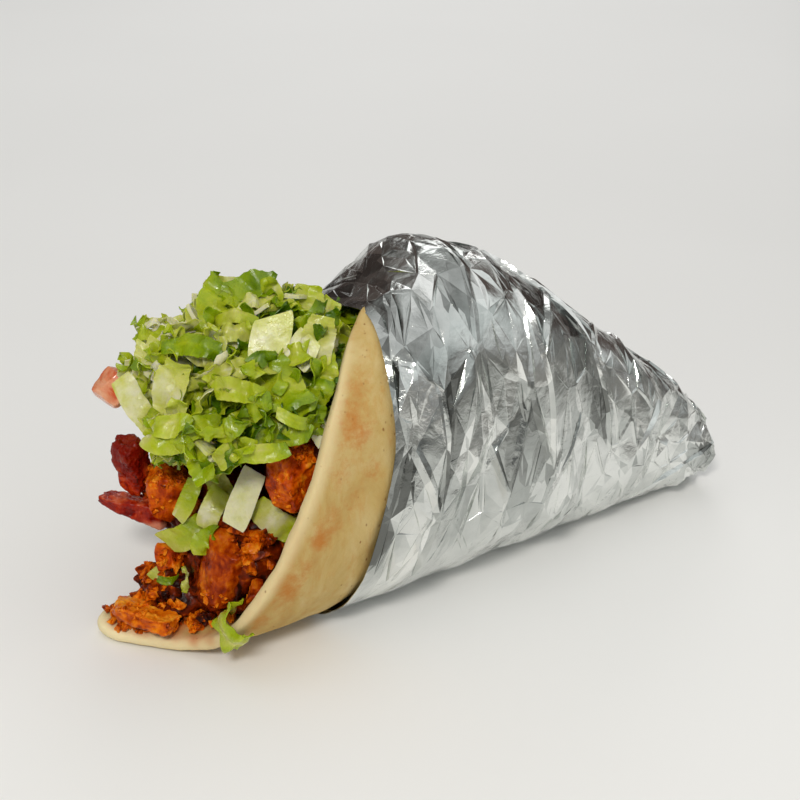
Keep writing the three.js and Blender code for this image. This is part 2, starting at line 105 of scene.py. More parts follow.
# Where creases are deep: on the upper side, away from the hem and the top of the mouth, and in patches
UPPER_SIDE = (0.15, 0.27)
UPPER_WAVER = 0.05
UNDER_SHARE = 0.2
HEM_WIDTH = 3
FOLD_AT_HEM = 0.15
FACET_AT_HEM = 0.3
CALM_SHARE = 0.75
CALM_RUN = (2, 24)
CALM_HEIGHTS = (0.8, 0.95)
PATCH_SIZE = 24
PATCH_EDGE = 0.35
FACET_OFF_PATCH = 0.25
CRINKLE_OFF_PATCH = 0.35
# How far the foil stands off the bread, and how deep it is pressed in between the folds
SLACK = 0.4
UPPER_SLACK = 0.9
STAND_OFF = 0.2
LEAST_LIFT = 0.15
PRESSED_IN = 2.2
PRESSED_RUN = (5, 18)
# Top of the foil: it stands highest a little behind the mouth, and is pressed down behind that
TOP_HEIGHTS = (0.84, 0.97)
PEAK_HEIGHT = 2.2
PEAK_ALONG = 31.0
PEAK_SPREAD = 10.0
TOP_DROP = 1.2
TOP_FOLD_LOSS = 0.45
# Far side of the mouth: how far it hangs down, over what length, and between what angles
FAR_SAG = 6.0
FAR_SAG_LENGTH = 30
FAR_SAG_START = (math.radians(112), math.radians(135))
FAR_SAG_END = (math.radians(168), math.radians(204))
# Tail: where it is gathered to, and how its end bulges
TAIL_POINT = np.array([FOIL_TAIL_X + 0.6, 0.0, 11.5])
TAIL_BULGE = 2.2
TAIL_BULGE_RUN = 1.3
TAIL_BULGE_TURN = 0.75
TAIL_FOLDS = 0.5
# Painted reflections in the brightness of the facets: on the underside, above it, and a painted shade darker
# by the mouth
PAINTED_REFLECTION_TONE = 0.72
MIDDLE_REFLECTION_TONE = 0.5
FACET_REFLECTION_SHARES = (0.65, 0.4)  # of the folds, and of the facets in them
RAGGED_EDGES = ((3.2, 7), (2.2, 2.5))  # how far the edge of a tone strays, and over what length
RAGGED_SEEDS = (1.7, 5.9)
UPPER_SHADE = 0.06
UPPER_SHADE_HEIGHTS = (0.15, 0.4)
UNDER_REFLECTION_CONTRAST = 0.18
REFLECTION_CONTRAST_HEIGHTS = (0.18, 0.4)
MOUTH_SHADE = 0.38
MOUTH_SHADE_RUN = (6, 28)
MOUTH_SHADE_HEIGHTS = (0.2, 0.4)

# Pita
PITA_THICKNESS = 6.2
PITA_TAIL_X = 83
PITA_NEAR_ANGLE = math.radians(-170)
PITA_FAR_ANGLE = math.radians(112)
PITA_GRID = (54, 32)
PITA_COLUMNS = ([0, 0.3, 0.78, 1], [PITA_NEAR_ANGLE, *np.radians([-50, 36]), PITA_FAR_ANGLE])
PITA_ROWS_CROWD = 1.25  # how closely its rows lie at the rim
NEAR_RIM_X = -80
FLAP_SLOPE = 0.5  # how far back the near rim runs for its height
FLAP_SLOPE_FROM = 16
FLAP_CURVE = 0.022
FLAP_CURVE_FROM = 72
FAR_RIM_X = -72
FAR_RIM_SLOPE = 0.2
RIM_TURN = (math.radians(16), math.radians(29))
LIP_REACH = 24.7
LIP_ANGLE = math.radians(9)
LIP_SPREAD = math.radians(29)
RIM_TAPER = 12  # how far back from its rim the bread reaches its full thickness
RIM_TAPER_FROM = -4
RIM_SHARE = 0.4
RIM_OUTWARD = 1.2
RIM_FORWARD = 0.6
TIP_LIFT = 1.6  # how far the top of the flap stands off the roll
TIP_DRAW = 8.5  # and is drawn back to a point
TIP_TURN = (math.radians(135), math.radians(169))
TIP_SHARPNESS = 6
FOIL_SQUEEZE = 3.4  # how far the foil presses the bread in
FOIL_SQUEEZE_RUN = (-2, 14)  # from the foil's mouth
DIMPLES = ((0.5, 13, 2.0), (0.22, 5, 8.0), (0.08, 1.7, 5.0))  # depth, size and seed
LEAST_HEIGHT = 0.02  # no dimple reaches the floor
# Sauce on the lip: where it lies, how strong it is, and how its edge fades
SAUCE_CENTRE = [-88, 2, 8]
SAUCE_REACH = [15, 24, 9]
SAUCE_STRENGTH = 0.85
SAUCE_EDGE = (-1.05, -0.45)
SAUCE_HEIGHTS = (3.0, 6.0)
# Paler rim, where the dough is unbrowned, with painted light strongest at the lip, and freckles along the
# foil, over widths in mm
PALE_RIM_OFF_LIP = 0.5
PALE_RIM_WIDTH = (0.5, 5.0)
FRECKLES = 0.16
FRECKLE_WIDTH = (1, 12)
# Toast on the far side, which comes and goes
FAR_TOAST = 0.7
FAR_TOAST_SIZE = 15
FAR_TOAST_EDGE = (0.15, 0.6)
FAR_TOAST_FROM_Y = (5, 20)
TOAST_STRETCH = np.array([1, 1, 1.6])
# Toasted spots: pixel of the photograph, size and strength
TOASTED_SPOTS = [
    ((352, 425), 6.0, 0.7),
    ((358, 388), 4.0, 0.5),
    ((340, 470), 4.0, 0.45),
    ((321, 540), 3.2, 0.9),
    ((334, 520), 3.0, 0.5),
    ((288, 590), 5.0, 0.75),
    ((306, 572), 3.0, 0.5),
    ((262, 622), 4.0, 0.6),
    ((350, 500), 3.0, 0.4),
    ((372, 470), 2.5, 0.5),
]

# Lettuce
MOUND_CENTRE = np.array([-51.0, 3.0, 65.0])
MOUND_RADII = np.array([39.0, 36.0, 30.0])
CHICKEN_LEVEL = 53
LEVEL_TILT = math.radians(22)

# Studio: the room's tone at heights from the horizon to overhead, in front and behind
ROOM_FRONT = [
    (0.0, (0.3, 0.3, 0.295)),
    (0.1, (0.36, 0.365, 0.36)),
    (0.26, (0.54, 0.56, 0.555)),
    (0.5, (0.74, 0.78, 0.775)),
    (1.0, (0.85, 0.85, 0.85)),
]
PAINTED_FLOOR_SHADE_WAY = (0.74, -0.67, 0.0)  # towards the near side of the foil's reflections, where the floor's painted shade lies
PAINTED_FLOOR_SHADE = (0.11, 0.3)  # where the floor's painted shade starts to fall off to grey, and where it ends, in metres
ROOM_BACK = [
    (0.0, (0.07, 0.05, 0.045)),
    (0.45, (0.1, 0.08, 0.072)),
    (0.75, (0.5, 0.51, 0.5)),
    (1.0, (1.0, 1.0, 1.0)),
]


# Surface of the wrap


def smoothstep(value, low, high):
    share = np.clip((np.asarray(value, float) - low) / (high - low), 0, 1)
    return share * share * (3 - 2 * share)


def at_least(floor, share):
    """A share of 0 to 1, squeezed to run from a floor to 1."""
    return floor + (1 - floor) * share


def along_wrap(x, values):
    """A smooth curve through the stations, read at places along the wrap."""
    slopes = np.diff(values) / np.diff(STATION_X)
    tangents = np.concatenate([slopes[:1], (slopes[:-1] + slopes[1:]) / 2, slopes[-1:]])
    i = np.clip(np.searchsorted(STATION_X, x) - 1, 0, len(STATION_X) - 2)
    span = STATION_X[i + 1] - STATION_X[i]
    t = np.clip((x - STATION_X[i]) / span, 0, 1)
    start = (1 + 2 * t) * (1 - t) ** 2 * values[i] + t * (1 - t) ** 2 * span * tangents[i]
    end = t * t * (3 - 2 * t) * values[i + 1] + t * t * (t - 1) * span * tangents[i + 1]
    return start + end


def underside_height(x):
    return FOIL_WALL * smoothstep(x, FOIL_MOUTH_BOTTOM_X - FOIL_STEP_UP, FOIL_MOUTH_BOTTOM_X)


def wrap_point(x, angle, inset):
    """Points at places along the wrap and angles round it, drawn in from the foil's inner face."""
    x, angle, inset = np.broadcast_arrays(*(np.asarray(part, float) for part in (x, angle, inset)))
    underside = underside_height(x) + inset
    low = underside - FLATTENED
    high = along_wrap(x, STATION_TOP) - inset
    across = np.sin(angle)
    upward = -np.cos(angle)
    reach = (np.abs(across) ** SECTION_POWER + np.abs(upward) ** SECTION_POWER) ** (-1 / SECTION_POWER)
    half_width = along_wrap(x, STATION_HALF_WIDTH) - inset
    y = half_width * reach * across - LEAN * np.maximum(0, reach * upward) ** 2
    z = (low + high) / 2 + (high - low) / 2 * reach * upward
    return np.stack([x, y, np.maximum(np.maximum(z, underside), 0)], axis=-1)


def foil_mouth_x(angle):
    height = (1 - np.cos(angle)) / 2
    waver = sum(depth * np.sin(number * angle + start) for depth, number, start in FOIL_MOUTH_WAVES)
    return FOIL_MOUTH_BOTTOM_X + (FOIL_MOUTH_TOP_X - FOIL_MOUTH_BOTTOM_X) * height + waver


def by_lip(angle):
    """How near an angle round the wrap is to the middle of the lip, from 0 to 1."""
    return np.exp(-(((angle - LIP_ANGLE) / LIP_SPREAD) ** 2))


def pita_rim_x(angle):
    height = wrap_point(NEAR_RIM_X, angle, 0)[..., 2]
    lip = LIP_REACH * by_lip(angle)
    slope = FLAP_SLOPE * np.maximum(0, height - FLAP_SLOPE_FROM)
    slope += FLAP_CURVE * np.maximum(0, height - FLAP_CURVE_FROM) ** 2
    near = NEAR_RIM_X + slope - lip
    far = FAR_RIM_X + FAR_RIM_SLOPE * height
    return near + (far - near) * smoothstep(angle, *RIM_TURN)


# Camera rays, for placing pieces where the photograph has them

view_forward = -VIEW_BACK / np.linalg.norm(VIEW_BACK)
view_right = np.cross(view_forward, [0, 0, 1])
view_right /= np.linalg.norm(view_right)
view_up = np.cross(view_right, view_forward)
view_from = VIEW_TARGET - view_forward * VIEW_DISTANCE


def view_ray(pixel):
    half = PHOTO_WIDTH / 2
    scale = SENSOR / 2 / LENS / half
    ray = view_forward + view_right * (pixel[0] - half) * scale + view_up * (half - pixel[1]) * scale
    return ray / np.linalg.norm(ray)


def solid_tree(names):
    """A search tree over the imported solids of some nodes."""
    points, faces = [], []
    for name in names:
        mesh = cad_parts[name].data
        start = len(points)
        points += [Vector(vertex.co) / MM - Vector(WRAP_SHIFT) for vertex in mesh.vertices]
        faces += [[start + corner for corner in face.vertices] for face in mesh.polygons]
    return BVHTree.FromPolygons(points, faces)


CHICKEN_NODES = [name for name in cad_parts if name.startswith("chicken_")]
FILLING_NODES = [*CHICKEN_NODES, "lettuce_heap", "tomato_dice"]
filling_tree = solid_tree(FILLING_NODES)
bread_tree = solid_tree(["pita"])
lip_tree = solid_tree(["chicken_bed", "pita"])


def spot_in_view(pixel, tree):
    """Where the camera's ray through a pixel of the photograph meets the solids, or None."""
    place, normal, _, _ = tree.ray_cast(Vector(view_from), Vector(view_ray(pixel)))
    if place is None:
        return None, None
    return np.array(place), np.array(normal)


# Meshes

MERGE_DISTANCE = 1e-5  # in metres
SOLID_MERGE_DISTANCE = 1e-6


def select_only(piece):
    bpy.ops.object.select_all(action="DESELECT")
    piece.select_set(True)
    bpy.context.view_layer.objects.active = piece


def new_piece(name, points, faces):
    """A mesh object from points in the wrap's own axes."""
    mesh = bpy.data.meshes.new(name)
    mesh.from_pydata(((np.asarray(points) + WRAP_SHIFT) * MM).tolist(), [], faces)
    piece = bpy.data.objects.new(name, mesh)
    bpy.context.collection.objects.link(piece)
    select_only(piece)
    return piece


def copy_of_solid(name, node):
    """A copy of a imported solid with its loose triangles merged."""
    piece = bpy.data.objects.new(name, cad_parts[node].data.copy())
    bpy.context.collection.objects.link(piece)
    piece.data.materials.clear()
    select_only(piece)
    bpy.ops.object.mode_set(mode="EDIT")
    bpy.ops.mesh.select_all(action="SELECT")
    bpy.ops.mesh.remove_doubles(threshold=SOLID_MERGE_DISTANCE)
    bpy.ops.object.mode_set(mode="OBJECT")
    return piece


def apply_modifier(piece, kind, **settings):
    select_only(piece)
    modifier = piece.modifiers.new(kind.title(), kind)
    for setting, value in settings.items():
        setattr(modifier, setting, value)
    bpy.ops.object.modifier_apply(modifier=modifier.name)


def points_of(piece):
    flat = np.empty(3 * len(piece.data.vertices))
    piece.data.vertices.foreach_get("co", flat)
    return flat.reshape(-1, 3) / MM - WRAP_SHIFT


def normals_of(piece):
    flat = np.empty(3 * len(piece.data.vertices))
    piece.data.vertices.foreach_get("normal", flat)
    return flat.reshape(-1, 3)


def move_points(piece, points):
    piece.data.vertices.foreach_set("co", ((points + WRAP_SHIFT) * MM).ravel())
    piece.data.update()


def merge_and_face_out(piece):
    select_only(piece)
    bpy.ops.object.mode_set(mode="EDIT")
    bpy.ops.mesh.select_all(action="SELECT")
    bpy.ops.mesh.remove_doubles(threshold=MERGE_DISTANCE)
    bpy.ops.mesh.dissolve_degenerate(threshold=MERGE_DISTANCE)
    bpy.ops.mesh.normals_make_consistent(inside=False)
    bpy.ops.object.mode_set(mode="OBJECT")


def shade_smooth(piece, crease_degrees=None):
    select_only(piece)
    if crease_degrees is None:
        bpy.ops.object.shade_smooth()
    else:
        bpy.ops.object.shade_smooth_by_angle(angle=math.radians(crease_degrees))


def set_values(piece, name, values, domain="POINT"):
    """Notes a value for each point or face of a piece, for its finish to read."""
    attribute = piece.data.attributes.new(name, "FLOAT", domain)
    attribute.data.foreach_set("value", np.asarray(values, np.float32))


def noise_at(points, size, seed=0.0, stretch=(1, 1, 1)):
    """Smooth noise from -1 to 1 with features of a given size."""
    scaled = points * np.asarray(stretch) / size + seed
    return np.array([noise.noise(place) for place in scaled.tolist()])


def place_piece(piece, finish, slot, *nodes):
    piece.data.materials.clear()
    piece.data.materials.append(finish)
    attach(piece, "root")
    if nodes:
        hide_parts(*nodes)


# Finishes


def colour(red, green, blue):
    """A display colour, 0 to 255, as a shader takes it."""
    parts = [part / 255 for part in (red, green, blue)]
    return (*[((part + 0.055) / 1.055) ** 2.4 if part > 0.04 else part / 12.92 for part in parts], 1.0)


def new_finish(name, **sockets):
    finish = bpy.data.materials.new(name)
    finish.use_nodes = True
    shader = finish.node_tree.nodes["Principled BSDF"]
    for socket, value in sockets.items():
        shader.inputs[socket.replace("_", " ")].default_value = value
    return finish


def add_node(finish, kind, inputs, **settings):
    node = finish.node_tree.nodes.new("ShaderNode" + kind)
    for setting, value in settings.items():
        setattr(node, setting, value)
    for socket, value in inputs.items():
        if isinstance(value, bpy.types.NodeSocket):
            finish.node_tree.links.new(value, node.inputs[socket])
        else:
            node.inputs[socket].default_value = value
    return node


def feed_shader(finish, **sockets):
    shader = finish.node_tree.nodes["Principled BSDF"]
    for socket, output in sockets.items():
        finish.node_tree.links.new(output, shader.inputs[socket.replace("_", " ")])


def object_place(finish, stretch=(1, 1, 1)):
    place = add_node(finish, "TexCoord", {}).outputs["Object"]
    return add_node(finish, "Mapping", {"Vector": place, "Scale": stretch}).outputs["Vector"]


def mottle(finish, size, detail=3.0, roughness=0.55, stretch=(1, 1, 1), distortion=0.0, shift=0.0):
    """Noise from 0 to 1 whose blotches are about so many mm across."""
    place = object_place(finish, stretch)
    if shift:
        place = add_node(finish, "Mapping", {"Vector": place, "Location": (shift, shift, shift)}).outputs[0]
    inputs = {"Vector": place, "Scale": 1 / (size * MM), "Detail": detail, "Roughness": roughness}
    return add_node(finish, "TexNoise", {**inputs, "Distortion": distortion}).outputs[0]


def cells(finish, size, stretch=(1, 1, 1)):
    """Distance from scattered centres about so many mm apart."""
    inputs = {"Vector": object_place(finish, stretch), "Scale": 1 / (size * MM)}
    return add_node(finish, "TexVoronoi", inputs).outputs["Distance"]


def ramp(finish, value, *stops):
    """A colour for each value, through stops of place and colour."""
    node = add_node(finish, "ValToRGB", {"Fac": value})
    elements = node.color_ramp.elements
    while len(elements) < len(stops):
        elements.new(1.0)
    for element, (place, tint) in zip(elements, stops):
        element.position = place
        element.color = tint
    return node.outputs["Color"]


def level(finish, value, low, high, start=0.0, end=1.0):
    inputs = {"Value": value, "From Min": low, "From Max": high, "To Min": start, "To Max": end}
    return add_node(finish, "MapRange", inputs, interpolation_type="SMOOTHSTEP").outputs["Result"]


def blend(finish, share, first, second, how="MIX"):
    node = add_node(finish, "Mix", {0: share, 6: first, 7: second}, data_type="RGBA", blend_type=how)
    return node.outputs[2]


def calc(finish, operation, first, second):
    return add_node(finish, "Math", {0: first, 1: second}, operation=operation).outputs[0]


def noted_value(finish, name):
    return add_node(finish, "Attribute", {}, attribute_name=name).outputs["Fac"]


def relief(finish, height, depth, strength):
    """Fine bumps of a depth in mm."""
    inputs = {"Height": height, "Distance": depth * MM, "Strength": strength}
    return add_node(finish, "Bump", inputs).outputs["Normal"]


def glow_inside(finish, weight, scale, radius):
    """Light that soaks into a finish and comes out again nearby, over so many mm."""
    inputs = finish.node_tree.nodes["Principled BSDF"].inputs
    inputs["Subsurface Weight"].default_value = weight
    inputs["Subsurface Scale"].default_value = scale * MM
    inputs["Subsurface Radius"].default_value = radius


def foil_finish():
    finish = new_finish("bright_foil", Metallic=1.0)
    patch = level(finish, mottle(finish, 12, detail=4), 0.3, 0.7, -0.1, 0.1)
    # The facets' tones are painted reflections of light and dark surroundings.
    tone = ramp(
        finish,
        calc(finish, "ADD", noted_value(finish, "facet"), patch),
        (0.05, colour(112, 114, 111)),
        (0.45, colour(190, 194, 191)),
        (0.85, colour(238, 240, 237)),
    )
    rough = level(finish, mottle(finish, 9, detail=5), 0.3, 0.7, 0.12, 0.24)
    fine = mottle(finish, 2.4, detail=5, roughness=0.6, distortion=0.8)
    broad = mottle(finish, 7.0, detail=2, roughness=0.5, distortion=0.5, shift=0.27)
    waves = calc(finish, "ADD", fine, calc(finish, "MULTIPLY", broad, 2.5))
    feed_shader(finish, Base_Color=tone, Roughness=rough, Normal=relief(finish, waves, 0.34, 0.45))
    return finish


def bread_finish():
    finish = new_finish("toasted_pita", Specular_IOR_Level=0.15)
    glow_inside(finish, 0.1, 1.5, (1.0, 0.6, 0.3))
    crumb = ramp(
        finish,
        mottle(finish, 16, detail=7, roughness=0.62, distortion=0.8, stretch=(1, 1, 0.5)),
        (0.3, colour(210, 188, 134)),
        (0.5, colour(196, 167, 104)),
        (0.7, colour(182, 142, 76)),
    )
    stripes = mottle(finish, 2.6, detail=6, roughness=0.7, stretch=(1, 1, 0.22))
    streaked = blend(finish, level(finish, stripes, 0.48, 0.72, 0.0, 0.55), crumb, colour(196, 148, 82))
    uneven = level(finish, mottle(finish, 3, detail=7, roughness=0.75, shift=0.37), 0.3, 0.7, -0.3, 0.25)
    toast = level(finish, calc(finish, "ADD", noted_value(finish, "toast"), uneven), 0.05, 1.0, 0.0, 0.85)
    browned = blend(finish, toast, streaked, colour(190, 118, 50))
    speck = level(finish, cells(finish, 2.0, stretch=(1, 1, 0.6)), 0.08, 0.22, 1.0, 0.0)
    picked = calc(finish, "ADD", mottle(finish, 5, shift=0.5), noted_value(finish, "freckle"))
    freckles = calc(finish, "MULTIPLY", speck, level(finish, picked, 0.56, 0.68))
    # Paler rim: unbrowned dough, brightened most at the lip as painted light.
    rim_paled_and_lit = blend(finish, noted_value(finish, "rim"), browned, colour(246, 230, 184))
    freckled = blend(finish, calc(finish, "MULTIPLY", freckles, 0.75), rim_paled_and_lit, colour(128, 76, 34))
    stained = blend(finish, noted_value(finish, "sauce"), freckled, colour(188, 88, 16))
    pits = calc(finish, "ADD", mottle(finish, 2.2, detail=7, roughness=0.75), mottle(finish, 9, detail=3))
    rough = level(finish, noted_value(finish, "sauce"), 0.0, 0.8, 0.8, 0.35)
    feed_shader(finish, Base_Color=stained, Roughness=rough, Normal=relief(finish, pits, 0.8, 0.45))
    return finish


def chicken_finish(name, tones, char=0.0, shine=0.13, gloss=(0.22, 0.45), grain_way=(1, 1, 0.35)):
    """Meat of tones from painted shade in its crevices through flesh and crust to painted light on its peaks.
    """
    finish = new_finish(name, Specular_IOR_Level=shine)
    glow_inside(finish, 0.15, 0.8, (1.0, 0.35, 0.1))
    patch = mottle(finish, 5.0, detail=5, roughness=0.6, distortion=0.7)
    streak = mottle(finish, 1.8, detail=3, roughness=0.5, stretch=grain_way, shift=0.12)
    # Painted light and shade from the relief, with random patches.
    uneven = calc(finish, "ADD", noted_value(finish, "painted_crag_light"), level(finish, patch, 0.25, 0.75, -0.32, 0.32))
    value = calc(finish, "ADD", uneven, level(finish, streak, 0.25, 0.75, -0.1, 0.1))
    tone = ramp(finish, value, *zip((0.0, 0.36, 0.64, 1.0), tones))
    tone = blend(finish, noted_value(finish, "scorch"), tone, colour(112, 12, 5))
    spice = level(finish, mottle(finish, 1.5, detail=4, shift=0.61), 0.74 - 0.35 * char, 0.8 - 0.35 * char)
    tone = blend(finish, calc(finish, "MULTIPLY", spice, 0.8), tone, colour(52, 14, 4))
    # The slice's lower edge: a paler cut edge with a painted wet glint.
    tone = blend(finish, noted_value(finish, "pale"), tone, colour(222, 150, 116))
    rough = level(finish, mottle(finish, 1.8, detail=4, shift=0.9), 0.35, 0.65, *gloss)
    grain = mottle(finish, 0.7, detail=4, roughness=0.6, stretch=grain_way)
    feed_shader(finish, Base_Color=tone, Roughness=rough, Normal=relief(finish, grain, 0.22, 0.4))
    return finish


def lettuce_finish():
    finish = new_finish("lettuce_leaf", Specular_IOR_Level=0.4)
    glow_inside(finish, 0.5, 1.4, (0.8, 1.0, 0.12))
    patch = level(finish, mottle(finish, 5, detail=4), 0.25, 0.75, -0.1, 0.1)
    vein = level(finish, noted_value(finish, "vein"), 0.0, 1.0, 0.0, -0.12)
    value = calc(finish, "ADD", calc(finish, "ADD", noted_value(finish, "tone"), patch), vein)
    leaf = ramp(
        finish,
        value,
        (0.0, colour(220, 218, 176)),
        (0.18, colour(192, 194, 94)),
        (0.38, colour(168, 180, 26)),
        (0.62, colour(128, 152, 4)),
        (0.9, colour(66, 98, 0)),
    )
    rough = level(finish, mottle(finish, 3.5, detail=4, shift=0.4), 0.3, 0.7, 0.14, 0.4)
    blister = mottle(finish, 1.3, detail=4, roughness=0.6)
    feed_shader(finish, Base_Color=leaf, Roughness=rough, Normal=relief(finish, blister, 0.3, 0.7))
    return finish


def shadow_leaf_finish():
    finish = new_finish("lettuce_painted_shade", Roughness=0.6, Specular_IOR_Level=0.2)
    # Dark green painted shade, seen in the gaps between the shreds.
    leaf = ramp(finish, mottle(finish, 6, detail=5), (0.3, colour(34, 54, 2)), (0.7, colour(78, 102, 8)))
    feed_shader(finish, Base_Color=leaf, Normal=relief(finish, mottle(finish, 2.0, detail=4), 0.4, 0.6))
    return finish


def tomato_finish():
    finish = new_finish("tomato_flesh", Coat_Weight=0.25, Coat_Roughness=0.1)
    glow_inside(finish, 0.3, 2.0, (1.0, 0.4, 0.2))
    flesh = ramp(
        finish,
        mottle(finish, 5.5, detail=4, distortion=0.6),
        (0.32, colour(230, 172, 136)),
        (0.5, colour(222, 140, 100)),
        (0.62, colour(206, 84, 36)),
    )
    rough = level(finish, mottle(finish, 2.0), 0.3, 0.7, 0.15, 0.35)
    pores = relief(finish, mottle(finish, 1.2), 0.2, 0.4)
    feed_shader(finish, Base_Color=flesh, Roughness=rough, Normal=pores)
    return finish


# Foil: a thin sheet creased along the edges of random triangles, wide folds first and fine crinkles last


def crease_layer(draw, step_along, step_round, by_turns):
    """Random creases over one turn of the sheet: their points, edges and a tree to look up heights."""
    rows = int((SHEET_LENGTH + SHEET_CLOSE) / step_along) + ROWS_BEYOND
    turns = round(SHEET_GIRTH / step_round)
    step_round = SHEET_GIRTH / turns
    squeeze = step_along / step_round
    row, turn = [part.ravel() for part in np.meshgrid(np.arange(rows), np.arange(turns), indexing="ij")]
    shake = draw.uniform(-CREASE_SHAKE, CREASE_SHAKE, (2, row.size))
    along = (row - (ROWS_BEYOND - 1) / 2 + shake[0]) * step_along
    round_wrap = (turn + 0.5 * (row % 2) + shake[1]) * step_round
    side = np.where(row % 2, 1, -1) * np.where(draw.random(row.size) < by_turns, 1, -1)
    height = side * draw.uniform(*CREASE_DEPTHS, row.size)
    points = np.concatenate([np.stack([along, round_wrap + lap * SHEET_GIRTH], 1) for lap in (-1, 0, 1)])
    height = np.tile(height, 3)
    near = np.abs(points[:, 1] - SHEET_GIRTH / 2) < SHEET_GIRTH / 2 + STEPS_BEYOND * step_round
    points, height = points[near], height[near]
    flat = [Vector((a, r * squeeze)) for a, r in points]
    _, edges, faces, *_ = delaunay_2d_cdt(flat, [], [], 0, 1e-5, False)
    tree = BVHTree.FromPolygons([Vector((*p, h)) for p, h in zip(points.tolist(), height)], faces)
    # A random tone for each facet, used as its painted reflection.
    return {"points": points, "edges": edges, "tree": tree, "tones": draw.uniform(0, 1, len(faces))}


def look_up(layer, points):
    """Height of a layer at points of the sheet, and the painted reflection tone of the facet each is on."""
    down = Vector((0, 0, -1))
    hits = [layer["tree"].ray_cast(Vector((*point, ABOVE_SHEET)), down) for point in points.tolist()]
    height = np.array([0.0 if hit[0] is None else hit[0].z for hit in hits])
    tone = np.array([MIDDLE_REFLECTION_TONE if hit[0] is None else layer["tones"][hit[2]] for hit in hits])
    return height, tone


def height_share(round_wrap):
    """How far up the wrap a point of the sheet is, 0 at the underside and 1 at the top."""
    return (1 - np.cos(round_wrap / SHEET_RADIUS)) / 2


def in_space(flat):
    """Points of the flat sheet as noise takes them."""
    return np.column_stack([flat, np.zeros(len(flat))])


def painted_facet_reflections(layers, flat, faces):
    """Painted reflection brightness of each face of the creased sheet, shared by the faces of one facet, with
    ragged edges, and painted shade by the mouth.
    """
    middles = np.array([flat[list(face)].mean(0) for face in faces])
    height = height_share(middles[:, 1])
    spread = in_space(middles)
    shake = [
        sum(reach * noise_at(spread, size, seed) for reach, size in RAGGED_EDGES)
        for seed in RAGGED_SEEDS
    ]
    ragged = middles + np.stack(shake, 1)
    shares = zip(layers, FACET_REFLECTION_SHARES)
    tone = sum(share * (look_up(layer, ragged)[1] - MIDDLE_REFLECTION_TONE) for layer, share in shares)
    near_mouth = 1 - smoothstep(middles[:, 0], *MOUTH_SHADE_RUN)
    by_mouth = MOUTH_SHADE * near_mouth * smoothstep(height, *MOUTH_SHADE_HEIGHTS)
    contrast = UNDER_REFLECTION_CONTRAST + smoothstep(height, *REFLECTION_CONTRAST_HEIGHTS)
    return PAINTED_REFLECTION_TONE - UPPER_SHADE * smoothstep(height, *UPPER_SHADE_HEIGHTS) - by_mouth + tone * contrast


def on_sheet(points, margin):
    along, round_wrap = points[:, 0], points[:, 1]
    inside = (along > margin) & (along < SHEET_LENGTH + SHEET_CLOSE - margin)
    return inside & (round_wrap > margin) & (round_wrap < SHEET_GIRTH - margin)


def pinched_ridges(draw, layer, share, peaks, halves):
    """Some of a layer's creases that run round the wrap, where spare foil stands up in a sharp ridge."""
    ridges = []
    for a, b in layer["edges"]:
        ends = layer["points"][[a, b]]
        run = np.abs(ends[1] - ends[0])
        steep = run[1] > RIDGE_STEEPNESS * run[0]
        if steep and draw.random() < share and on_sheet(ends, RIDGE_MARGIN).all():
            ridges.append((*ends, draw.uniform(*peaks), draw.uniform(*halves)))
    return ridges


def ridge_height(ridges, points):
    height = np.zeros(len(points))
    for start, end, peak, half in ridges:
        run = end - start
        share = np.clip((points - start) @ run / (run @ run), 0, 1)
        away = np.linalg.norm(points - start - share[:, None] * run, axis=1)
        taper = np.sin(math.pi * np.clip(RIDGE_END + (1 - 2 * RIDGE_END) * share, 0, 1)) ** RIDGE_TAPER
        height = np.maximum(height, peak * taper * (1 - away / half))
    return height


def creased_sheet(layers, edged, ridges):
    """A triangulation of the flat sheet that has the layers' points, and the creases of the first ones."""
    length = SHEET_LENGTH + SHEET_CLOSE
    seam = np.linspace(0, length, SEAM_POINTS)
    hem = np.linspace(0, SHEET_GIRTH, HEM_POINTS)[1:-1]
    border = [np.stack([seam, np.full_like(seam, r)], 1) for r in (0.0, SHEET_GIRTH)]
    border += [np.stack([np.full_like(hem, a), hem], 1) for a in (0.0, length)]
    points = [Vector(point) for point in np.concatenate(border).tolist()]
    creases = []
    for order, layer in enumerate(layers):
        kept = on_sheet(layer["points"], SHEET_MARGIN)
        number = np.cumsum(kept) - 1 + len(points)
        points += [Vector(point) for point in layer["points"][kept].tolist()]
        if order < edged:
            creases += [(int(number[a]), int(number[b])) for a, b in layer["edges"] if kept[a] and kept[b]]
    for start, end, _, half in ridges:
        run = (end - start) / np.linalg.norm(end - start)
        aside = np.array([-run[1], run[0]]) * half
        for foot in (aside, -aside):
            creases.append((len(points), len(points) + 1))
            points += [Vector(start + foot), Vector(end + foot)]
    flat, _, faces, *_ = delaunay_2d_cdt(points, creases, [], 0, 1e-4, False)
    return np.array([tuple(point) for point in flat]), faces


def far_sag(along, angle):
    """How far the foil's mouth hangs down at the far side, above the bread's edge."""
    share = smoothstep(angle, *FAR_SAG_START) * (1 - smoothstep(angle, *FAR_SAG_END))
    return FAR_SAG * share * (1 - smoothstep(along, 0, FAR_SAG_LENGTH))


